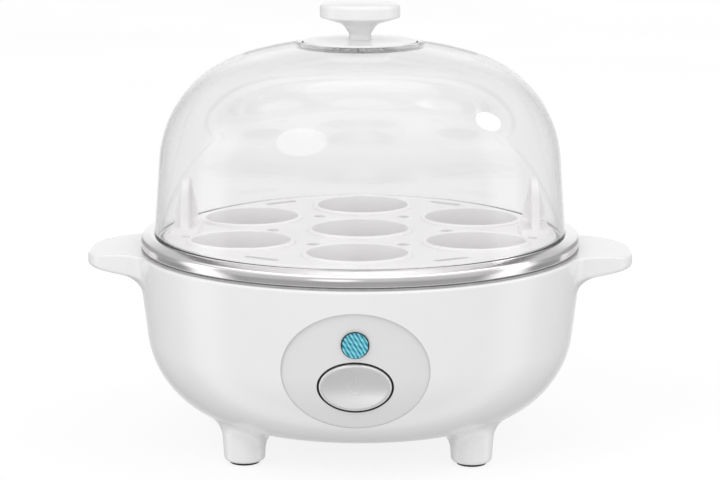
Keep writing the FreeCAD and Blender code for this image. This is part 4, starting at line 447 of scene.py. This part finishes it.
def turning_tree():
    """Sweeps an outline, x the radius and y the height, round the Z axis."""
    hub = 0.001
    tree = Tree("turned outline", Steps="Int", Finish="Material")
    flat = tree.node("GeometryNodeTransform", {
        "Geometry": tree.given["Geometry"], "Translation": (-hub, 0, 0), "Scale": (1, -1, 1)})
    ring = tree.node("GeometryNodeCurvePrimitiveCircle", {"Resolution": tree.given["Steps"], "Radius": hub})
    return tree.finish(tree.node("GeometryNodeCurveToMesh", {"Curve": ring, "Profile Curve": flat}))


def bead_tree():
    """Sweeps a round section along a line."""
    tree = Tree("bead along a line", Radius="Float", Sides="Int", Finish="Material")
    section = tree.node("GeometryNodeCurvePrimitiveCircle", {
        "Resolution": tree.given["Sides"], "Radius": tree.given["Radius"]})
    return tree.finish(tree.node("GeometryNodeCurveToMesh", {
        "Curve": tree.given["Geometry"], "Profile Curve": section, "Fill Caps": True}))


def ribbing_tree():
    """Presses straight ribs into the part of a face that lies above a height and inside a radius."""
    tree = Tree("ribs across a face", Across="Vector", Above="Float", Within="Float", Pitch="Float",
                Depth="Float", Finish="Material")
    spot = tree.node("GeometryNodeInputPosition", {})
    across = tree.node("ShaderNodeVectorMath", {0: spot, 1: tree.given["Across"]}, operation="DOT_PRODUCT")
    across = across.node.outputs["Value"]
    wave = tree.maths("PINGPONG", tree.maths("DIVIDE", across, tree.given["Pitch"]), 0.5)
    out = tree.node("ShaderNodeVectorMath", {0: spot, 1: (1, 1, 0)}, operation="MULTIPLY")
    radius = tree.node("ShaderNodeVectorMath", {0: out}, operation="LENGTH").node.outputs["Value"]
    height = tree.node("ShaderNodeSeparateXYZ", {0: spot}).node.outputs["Z"]
    inside = tree.maths("MULTIPLY", tree.maths("LESS_THAN", radius, tree.given["Within"]),
                        tree.maths("GREATER_THAN", height, tree.given["Above"]))
    furrow = tree.maths("SUBTRACT", 0.5, wave)
    sink = tree.maths("MULTIPLY", tree.maths("MULTIPLY", furrow, inside), tree.given["Depth"])
    drop = tree.node("ShaderNodeCombineXYZ", {2: tree.maths("MULTIPLY", sink, -2.0)})
    return tree.finish(tree.node("GeometryNodeSetPosition", {
        "Geometry": tree.given["Geometry"], "Offset": drop}))


TURNING = turning_tree()
BEAD = bead_tree()
RIBBING = ribbing_tree()
FACING_FRONT = Matrix.Rotation(math.pi / 2, 4, "X")


def low_and_high(node):
    """A CAD node's lowest and highest corners, in millimetres."""
    low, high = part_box(node)
    return Vector(low) / MM, Vector(high) / MM


def turn(name, corners, closed=False, steps=TURN_STEPS):
    """A piece turned round Z from an outline in millimetres."""
    outline = poly_line(name + "_outline", rounded(corners, closed), closed)
    return TURNING.grow(name, outline, Steps=steps)


def turn_wall(name, corners, wall, steps=TURN_STEPS):
    """A turned shell: the outline, and a line beside it, wall to its left."""
    return turn(name, corners + beside(corners, wall)[::-1], closed=True, steps=steps)


def bead(name, points, radius, closed=False, sides=12):
    """A round bead along points in millimetres."""
    return BEAD.grow(name, poly_line(name + "_line", points, closed), Radius=radius * MM, Sides=sides)


def move(piece, matrix=Matrix(), place=(0, 0, 0)):
    """Turn the piece's mesh, then shift it by a place in millimetres."""
    piece.data.transform(Matrix.Translation(Vector(place) * MM) @ matrix)
    return piece


def settle(piece, body, slot, *stands_for):
    """Finish a piece, tie it to its body and hide the CAD nodes that it stands for."""
    dress(piece, slot)
    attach(piece, body)
    if stands_for:
        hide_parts(*stands_for)
    return piece


def loft(name, rings):
    """A closed skin over rings with the same number of points, capped by a fan at each end."""
    grid = bmesh.new()
    made = [[grid.verts.new(Vector(point) * MM) for point in ring] for ring in rings]
    count = len(rings[0])
    for ring, following in zip(made, made[1:]):
        for i in range(count):
            after = (i + 1) % count
            grid.faces.new((ring[i], ring[after], following[after], following[i]))
    for ring in (made[0], made[-1]):
        middle = grid.verts.new(sum((v.co for v in ring), Vector()) / count)
        for i in range(count):
            grid.faces.new((ring[i], ring[(i + 1) % count], middle))
    mesh = bpy.data.meshes.new(name)
    grid.to_mesh(mesh)
    grid.free()
    return new_piece(name, tidy_mesh(mesh, sharp=28))


class ConeFace:
    """The leaning round face that a node shows to the front, read off the node at two heights."""

    def __init__(self, node, x, lower, upper):
        tree = BVHTree.FromObject(NODES[node], bpy.context.evaluated_depsgraph_get())
        self.low = lower
        self.radius = self.reach(tree, x, lower)
        self.slope = (self.reach(tree, x, upper) - self.radius) / (upper - lower)

    def reach(self, tree, x, z):
        """Distance from the axis to the face at x, z."""
        hit = tree.ray_cast(Vector((x * MM, -1, z * MM)), Vector((0, 1, 0)))[0]
        return math.hypot(hit.x, hit.y) / MM

    def y(self, x, z, lift=0.0):
        """y of the face at x, z, or of a face lift millimetres in front of it."""
        radius = self.radius + self.slope * (z - self.low) + lift
        return -math.sqrt(radius ** 2 - x ** 2)


# ---- lid and knob ----

LID_WALL = 2.0
VENT_RADIUS = 1.1
VENT_DISTANCE = 36.0
VENT_CUT = (130.0, 145.0)
LID_OUTSIDE = [(72.3, 75.7), (67.7, 129.2, 40), (31.0, 140.1, 120), (20.2, 141.6)]
LAND_RADIUS = 20.2
LAND_HEIGHT = 140.6
SCREW_HOLE = 1.6
EDGE_ROUNDING = 0.5
KNOB_OUTSIDE = [(1.4, 140.6), (19.7, 140.6, 0.2), (19.7, 142.1, 0.3), (4.2, 142.4, 1), (3.6, 144.2, 2),
                (6.0, 147.8, 4), (14.0, 150.2, 0.7), (14.0, 154.8, 1.6), (7.0, 155.9, 30), (0, 155.9),
                (0, 150.0), (1.4, 150.0)]
WASHER_ROUNDING = (0.2, 0.25)


def make_clear_dome():
    """One clear wall with a stepped land for the knob, a rolled lower edge and a steam vent."""
    inside = beside(LID_OUTSIDE, LID_WALL)
    step = LAND_RADIUS + LID_WALL
    inside[0] = (*inside[0], EDGE_ROUNDING)
    wall = [(*LID_OUTSIDE[0], EDGE_ROUNDING)] + LID_OUTSIDE[1:] + [
        (LAND_RADIUS, LAND_HEIGHT), (SCREW_HOLE, LAND_HEIGHT), (SCREW_HOLE, LAND_HEIGHT - LID_WALL),
        (step, LAND_HEIGHT - LID_WALL), (step, inside[3][1])] + inside[2::-1]
    dome = turn("clear_dome", wall, closed=True, steps=WIDE_TURN_STEPS)
    bottom, top = VENT_CUT
    pin = turn("vent_pin", [(0, bottom), (VENT_RADIUS, bottom), (VENT_RADIUS, top), (0, top)], steps=32)
    move(pin, place=(0, VENT_DISTANCE, 0))
    cut = dome.modifiers.new("vent", "BOOLEAN")
    cut.operation = "DIFFERENCE"
    cut.solver = "EXACT"
    cut.object = pin
    pierced = frozen(dome)
    bpy.data.objects.remove(pin)
    dome = settle(new_piece("clear_dome", tidy_mesh(pierced)), "lid", "clear_lid", "lid_dome")
    dome.visible_shadow = False
    dome.visible_diffuse = False


def make_knob():
    """Turned knob: a thin seat, a waisted neck and a wide cap whose top is slightly crowned."""
    settle(turn("dome_knob", KNOB_OUTSIDE), "lid", "white_knob", "lid_knob")
    low, high = low_and_high("lid_washer")
    inner, outer = WASHER_ROUNDING
    washer = turn("knob_washer", [
        (SCREW_HOLE, low.z, inner), (high.x, low.z, outer), (high.x, high.z, outer),
        (SCREW_HOLE, high.z, inner)], closed=True, steps=64)
    settle(washer, "lid", "grey_silicone", "lid_washer")


# ---- heating pan, its seal and the foot pads ----

PAN_SHEET = 0.8
PAN_FACE = [(74.0, 70.3), (76.5, 70.3, 0.9), (77.0, 72.7, 3), (77.0, 74.3, 1.5), (73.4, 75.7, 3),
            (69.4, 75.7, 0.8), (69.4, 73.2, 0.8), (66.0, 73.2, 0.8), (61.5, 55.2, 6), (0, 55.2)]
SEAL_WIDTH = 2.6
SEAL_ROUNDING = 0.15
TREAD_GROOVE = 0.35


def make_pan():
    """Spun sheet: a hem, a band, the shelf that the lid stands on, the tray's ledge and the dish."""
    pan = turn_wall("spun_pan", PAN_FACE, PAN_SHEET, steps=WIDE_TURN_STEPS)
    settle(pan, "base", "pan_steel", "heating_pan")
    low, high = low_and_high("pan_seal")
    inner = high.x - SEAL_WIDTH
    corners = ((inner, low.z), (high.x, low.z), (high.x, high.z), (inner, high.z))
    ring = turn("pan_gasket", [(*corner, SEAL_ROUNDING) for corner in corners], closed=True)
    settle(ring, "base", "grey_silicone", "pan_seal")


def make_foot_pads():
    """Rubber pads with two round grooves in the tread."""
    for end in ("front", "rear"):
        for hand in ("left", "right"):
            node = "foot_pad_%s_%s" % (end, hand)
            low, high = low_and_high(node)
            middle = (low + high) / 2
            radius, top = (high.x - low.x) / 2, high.z
            foot = turn("tread_%s_%s" % (end, hand), [
                (0, TREAD_GROOVE), (1.3, TREAD_GROOVE, 0.1), (1.6, 0, 0.15), (2.6, 0, 0.15),
                (2.9, TREAD_GROOVE, 0.1), (3.4, TREAD_GROOVE, 0.1), (3.7, 0, 0.15), (radius, 0, 0.4),
                (radius, top, 0.15), (0, top)], steps=72)
            move(foot, place=(middle.x, middle.y, 0))
            settle(foot, "base", "black_rubber", node)


# ---- panel ----

BUTTON_HEIGHT = 37.0
BUTTON_HALVES = (11.9, 8.1)
BUTTON_SIDES = 160
BUTTON_FLANGE = 1.6
BUTTON_HOLLOW = 1.5
BUTTON_RING = 1.1
BUTTON_EDGE = ((0, -0.7), (-0.05, -0.43), (-0.2, -0.2), (-0.43, -0.05), (-0.7, 0), (-0.95, 0))
DISH_DEPTH = 1.3
DISH_RINGS = 24
FLANGE_BACK = -66.0
FLANGE_THICKNESS = 1.2
HOLLOW_DEPTH = 3.0
STEM_RADIUS = 3.1
MARK_RADIUS = 2.2
MARK_OPENING = math.radians(38)
MARK_LINE = 0.22
MARK_SINK = 0.06
MARK_BAR = (0.7, 2.7)
LENS_HEIGHT = 51.6
LENS_RADIUS = 4.3
LENS_COLLAR = 1.0
LENS_EDGE = 0.12
RIB_DEPTHS = (0.4, 0.12)


def oval(reach, depth):
    """The button's oval grown by reach, each point's y given by depth(x, z)."""
    points = []
    for side in range(BUTTON_SIDES):
        angle = math.tau * side / BUTTON_SIDES
        x = (BUTTON_HALVES[0] + reach) * math.cos(angle)
        z = BUTTON_HEIGHT + (BUTTON_HALVES[1] + reach) * math.sin(angle)
        points.append((x, depth(x, z), z))
    return points


def stem_circle(y):
    """A ring round the button's stem, with as many points as the oval."""
    return [(STEM_RADIUS * math.cos(math.tau * side / BUTTON_SIDES), y,
             BUTTON_HEIGHT + STEM_RADIUS * math.sin(math.tau * side / BUTTON_SIDES))
            for side in range(BUTTON_SIDES)]


def dish(face, share):
    """A ring of the dished face, share of the way from the middle to its rim."""
    points = []
    for side in range(BUTTON_SIDES):
        angle = math.tau * side / BUTTON_SIDES
        x = (BUTTON_HALVES[0] - BUTTON_RING) * share * math.cos(angle)
        z = BUTTON_HEIGHT + (BUTTON_HALVES[1] - BUTTON_RING) * share * math.sin(angle)
        points.append((x, face.y(x, z, -DISH_DEPTH * (1 - share ** 2)), z))
    return points


def make_button(face):
    """Hollow cap with a flange and a stem behind, a rounded edge, a narrow ring and a dished face."""
    stem_end = low_and_high("power_button")[1].y
    flange_front, hollow_front = FLANGE_BACK - FLANGE_THICKNESS, FLANGE_BACK - HOLLOW_DEPTH
    rings = [stem_circle(stem_end), stem_circle(hollow_front)]
    for reach, y in ((-BUTTON_HOLLOW, hollow_front), (-BUTTON_HOLLOW, FLANGE_BACK),
                     (BUTTON_FLANGE, FLANGE_BACK), (BUTTON_FLANGE, flange_front), (0, flange_front)):
        rings.append(oval(reach, lambda x, z: y))
    for reach, lift in BUTTON_EDGE:
        rings.append(oval(reach, lambda x, z: face.y(x, z, lift)))
    for ring in range(DISH_RINGS, 0, -1):
        rings.append(dish(face, ring / DISH_RINGS))
    settle(loft("dished_button", rings), "button", "silver_button", "power_button")


def make_power_mark(face):
    """Raised mark on the button: an open ring and a short bar."""
    def on_dish(x, up):
        across = x / (BUTTON_HALVES[0] - BUTTON_RING)
        along = up / (BUTTON_HALVES[1] - BUTTON_RING)
        sunk = DISH_DEPTH * (1 - across ** 2 - along ** 2) + MARK_SINK
        return (x, face.y(x, BUTTON_HEIGHT + up, -sunk), BUTTON_HEIGHT + up)

    ring_steps, bar_steps = 48, 8
    arc = []
    for step in range(ring_steps + 1):
        angle = MARK_OPENING + (math.tau - 2 * MARK_OPENING) * step / ring_steps
        arc.append(on_dish(MARK_RADIUS * math.sin(angle), MARK_RADIUS * math.cos(angle)))
    low, high = MARK_BAR
    bar = [on_dish(0, low + (high - low) * step / bar_steps) for step in range(bar_steps + 1)]
    for name, points in (("power_mark_ring", arc), ("power_mark_bar", bar)):
        settle(bead(name, points, MARK_LINE, sides=10), "button", "silver_button")


def make_panel_joint_beads(panel):
    """Black beads: one fills the joint round the button as painted shade of the gap, the other lines the
    lens's bore.
    """
    joint_middle, joint_sink, joint_bead = 0.4, 0.25, 0.3
    # Painted shade: the black bead in the button's joint stands in for the shade inside the gap.
    gap_ring = oval(joint_middle, lambda x, z: panel.y(x, z, -joint_sink))
    settle(bead("button_gasket", gap_ring, joint_bead, closed=True), "base", "black_rubber")
    bore_bead, steps, radius = 0.2, 96, LENS_RADIUS + 0.15
    lens_ring = []
    for step in range(steps):
        x = radius * math.cos(math.tau * step / steps)
        z = LENS_HEIGHT + radius * math.sin(math.tau * step / steps)
        lens_ring.append((x, panel.y(x, z), z))
    settle(bead("lens_gasket", lens_ring, bore_bead, closed=True), "base", "black_rubber")


def make_lens():
    """Jewel lens: a collar behind, and a face pressed with two families of straight slanting ribs."""
    low, high = low_and_high("indicator_lens")
    collar, face = (high.x - low.x) / 2, high.y - low.y
    rings = [(LENS_RADIUS - 0.35 - 0.1 * step, face) for step in range(38)]
    lens = turn("lens_blank", [
        (0, 0), (collar, 0, 0.2), (collar, LENS_COLLAR, 0.2), (LENS_RADIUS, LENS_COLLAR),
        (LENS_RADIUS, face - 0.6), (LENS_RADIUS - LENS_EDGE, face - 0.02)] + rings + [(0, face)], steps=320)
    for (direction, pitch), depth in zip(LENS_RIBS, RIB_DEPTHS):
        lens = RIBBING.grow("ribbed_lens", lens, Across=(*direction, 0), Above=(face - 0.5) * MM,
                            Within=(LENS_RADIUS - 0.3) * MM, Pitch=pitch * MM, Depth=depth * MM)
    move(lens, FACING_FRONT, (0, high.y, LENS_HEIGHT))
    settle(lens, "base", "blue_lens", "indicator_lens")


def make_spring():
    """Coil spring round the button's stem: open turns between two closed ends."""
    low, high = low_and_high("button_spring")
    wire, turns, steps = 0.4, 6, 40
    radius, length = (high.x - low.x) / 2 - wire, high.y - low.y - 2 * wire
    closed_share = 0.9 * 2 * wire / length
    points = []
    for step in range(turns * steps + 1):
        turned_by = step / steps
        if turned_by < 1:
            share = closed_share * turned_by
        elif turned_by > turns - 1:
            share = 1 - closed_share * (turns - turned_by)
        else:
            share = closed_share + (1 - 2 * closed_share) * (turned_by - 1) / (turns - 2)
        points.append((radius * math.cos(math.tau * turned_by), high.y - wire - length * share,
                       BUTTON_HEIGHT + radius * math.sin(math.tau * turned_by)))
    spring = settle(bead("coil_spring", points, wire), "base", "zinc_steel", "button_spring")
    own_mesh(spring)


for node, solid in NODES.items():
    dress(solid, SLOT_OF[node])
BUTTON_FACE = ConeFace("power_button", 0, 34, 40)
PANEL = ConeFace("body_shell", 18, 32, 46)
make_clear_dome()
make_knob()
make_pan()
make_foot_pads()
make_button(BUTTON_FACE)
make_power_mark(BUTTON_FACE)
make_panel_joint_beads(PANEL)
make_lens()
make_spring()

# ---- studio and camera ----

FLOOR_RADIUS = 2.2
FLOOR_GLOW = (0.55, 0.80)
LIGHTS_LOOK_AT = Vector((0, 0, 0.08))
WINDOW_WAY = (-0.2, -0.96, -0.19)
ROOM_STRENGTH = 1.03
THROUGH_LID = 0.92


def lay_floor():
    """A round floor of pale paper that glows a little; mirror reflections and the lid look past it."""
    sides = 96
    angles = [math.tau * side / sides for side in range(sides)]
    rim = [(FLOOR_RADIUS * math.cos(angle), FLOOR_RADIUS * math.sin(angle), 0) for angle in angles]
    mesh = bpy.data.meshes.new("floor")
    mesh.from_pydata(rim, [], [tuple(range(sides))])
    floor = new_piece("floor", mesh)
    paper = Finish("pale_paper", (0, 0, 0), rough=0.9, specular=0.0)
    paper.tint(paper.grain(0.3, 2), (0.19, 0.19, 0.19), (0.21, 0.21, 0.21))
    path = paper.tree.nodes.new("ShaderNodeLightPath").outputs
    paper.shader.inputs["Emission Color"].default_value = (1, 1, 1, 1)
    unseen, seen = FLOOR_GLOW
    glow = paper.node("Mix", {0: path["Is Camera Ray"], 2: unseen, 3: seen})
    paper.tree.links.new(glow, paper.shader.inputs["Emission Strength"])
    seen_through = paper.tree.nodes.new("ShaderNodeMixShader")
    paper.tree.links.new(path["Is Glossy Ray"], seen_through.inputs[0])
    paper.tree.links.new(paper.shader.outputs[0], seen_through.inputs[1])
    clear = paper.tree.nodes.new("ShaderNodeBsdfTransparent")
    paper.tree.links.new(clear.outputs[0], seen_through.inputs[2])
    paper.tree.links.new(seen_through.outputs[0], paper.tree.nodes["Material Output"].inputs[0])
    mesh.materials.append(paper.material)


def add_light(name, place, size, power, shown=False):
    """A round soft light that looks at the cooker; only a shown one is seen in reflections."""
    lamp = bpy.data.lights.new(name, "AREA")
    lamp.shape = "DISK"
    lamp.size = size
    lamp.energy = power
    light = bpy.data.objects.new(name, lamp)
    light.location = place
    light.rotation_euler = (LIGHTS_LOOK_AT - Vector(place)).to_track_quat("-Z", "Y").to_euler()
    light.visible_glossy = shown
    bpy.context.scene.collection.objects.link(light)


def light_room():
    """A plain white room; in reflections its back and ceiling are bright, with side panels and a window."""
    world = bpy.data.worlds.new("white_room")
    bpy.context.scene.world = world
    world.use_nodes = True
    tree = world.node_tree

    def node(kind, inputs, **settings):
        return shader_node(tree, kind, inputs, **settings)

    def fade(value, start, end, low=0.0, high=1.0):
        limits = {0: value, 1: start, 2: end, 3: low, 4: high}
        return node("MapRange", limits, interpolation_type="SMOOTHSTEP")

    def maths(operation, first, second=0.0, third=0.0):
        return node("Math", {0: first, 1: second, 2: third}, operation=operation)

    way = tree.nodes.new("ShaderNodeTexCoord").outputs["Generated"]
    x, y, z = node("SeparateXYZ", {0: way}).node.outputs
    aside = maths("ABSOLUTE", x)
    side_panels = maths("MULTIPLY", fade(maths("ABSOLUTE", y), 0.3, 0.08), fade(z, 0.6, 0.35))
    spot = node("VectorMath", {0: way, 1: WINDOW_WAY}, operation="DOT_PRODUCT").node.outputs["Value"]
    back_shape = maths("MULTIPLY", fade(aside, 0.45, 0.2), fade(z, 0.45, 0.25))
    back = maths("MULTIPLY", fade(y, 0.6, 0.9), back_shape)
    seen = maths("ADD", fade(z, -0.6, -0.2, 0.2, 0.42), fade(z, 0.2, 0.45, 0.0, 0.2))
    front, window, ceiling = fade(y, 0.0, -0.5), fade(spot, 0.965, 0.99), fade(z, 0.6, 0.85)
    for part, share in ((back, 0.6), (side_panels, 1.0), (front, 0.2), (window, 0.6), (ceiling, 0.8)):
        seen = maths("MULTIPLY_ADD", part, share, seen)
    spread = maths("MULTIPLY", fade(y, -0.4, 0.4, 1.42, 0.85), fade(z, 0.2, 0.8, 1.0, 0.72))
    path = tree.nodes.new("ShaderNodeLightPath").outputs
    strength = ROOM_STRENGTH
    for ray, value in (("Diffuse", spread), ("Glossy", seen), ("Transmission", THROUGH_LID)):
        strength = node("Mix", {0: path["Is %s Ray" % ray], 2: strength, 3: value})
    room = tree.nodes["Background"]
    room.inputs["Color"].default_value = (1, 1, 1, 1)
    tree.links.new(strength, room.inputs["Strength"])
    add_light("key", (-0.9, -1.1, 1.3), 0.9, 3)
    add_light("top", (0.1, 0.3, 1.6), 1.2, 2)
    add_light("shoulder", (1.5, 0.3, 1.2), 0.45, 2.5, shown=True)


def set_camera():
    """A long lens, a little to the right of the panel and above the lid."""
    distance, height = 0.8, 0.227
    turned_by, tilt = math.radians(1.2), math.radians(11.0)
    lens = bpy.data.cameras.new("camera")
    lens.lens = 115.5
    lens.sensor_width = 36
    camera = bpy.data.objects.new("camera", lens)
    camera.location = (distance * math.sin(turned_by), -distance * math.cos(turned_by), height)
    camera.rotation_euler = (math.pi / 2 - tilt, 0, turned_by)
    bpy.context.scene.collection.objects.link(camera)
    bpy.context.scene.camera = camera


lay_floor()
light_room()
set_camera()
bpy.context.scene.view_settings.view_transform = "Standard"
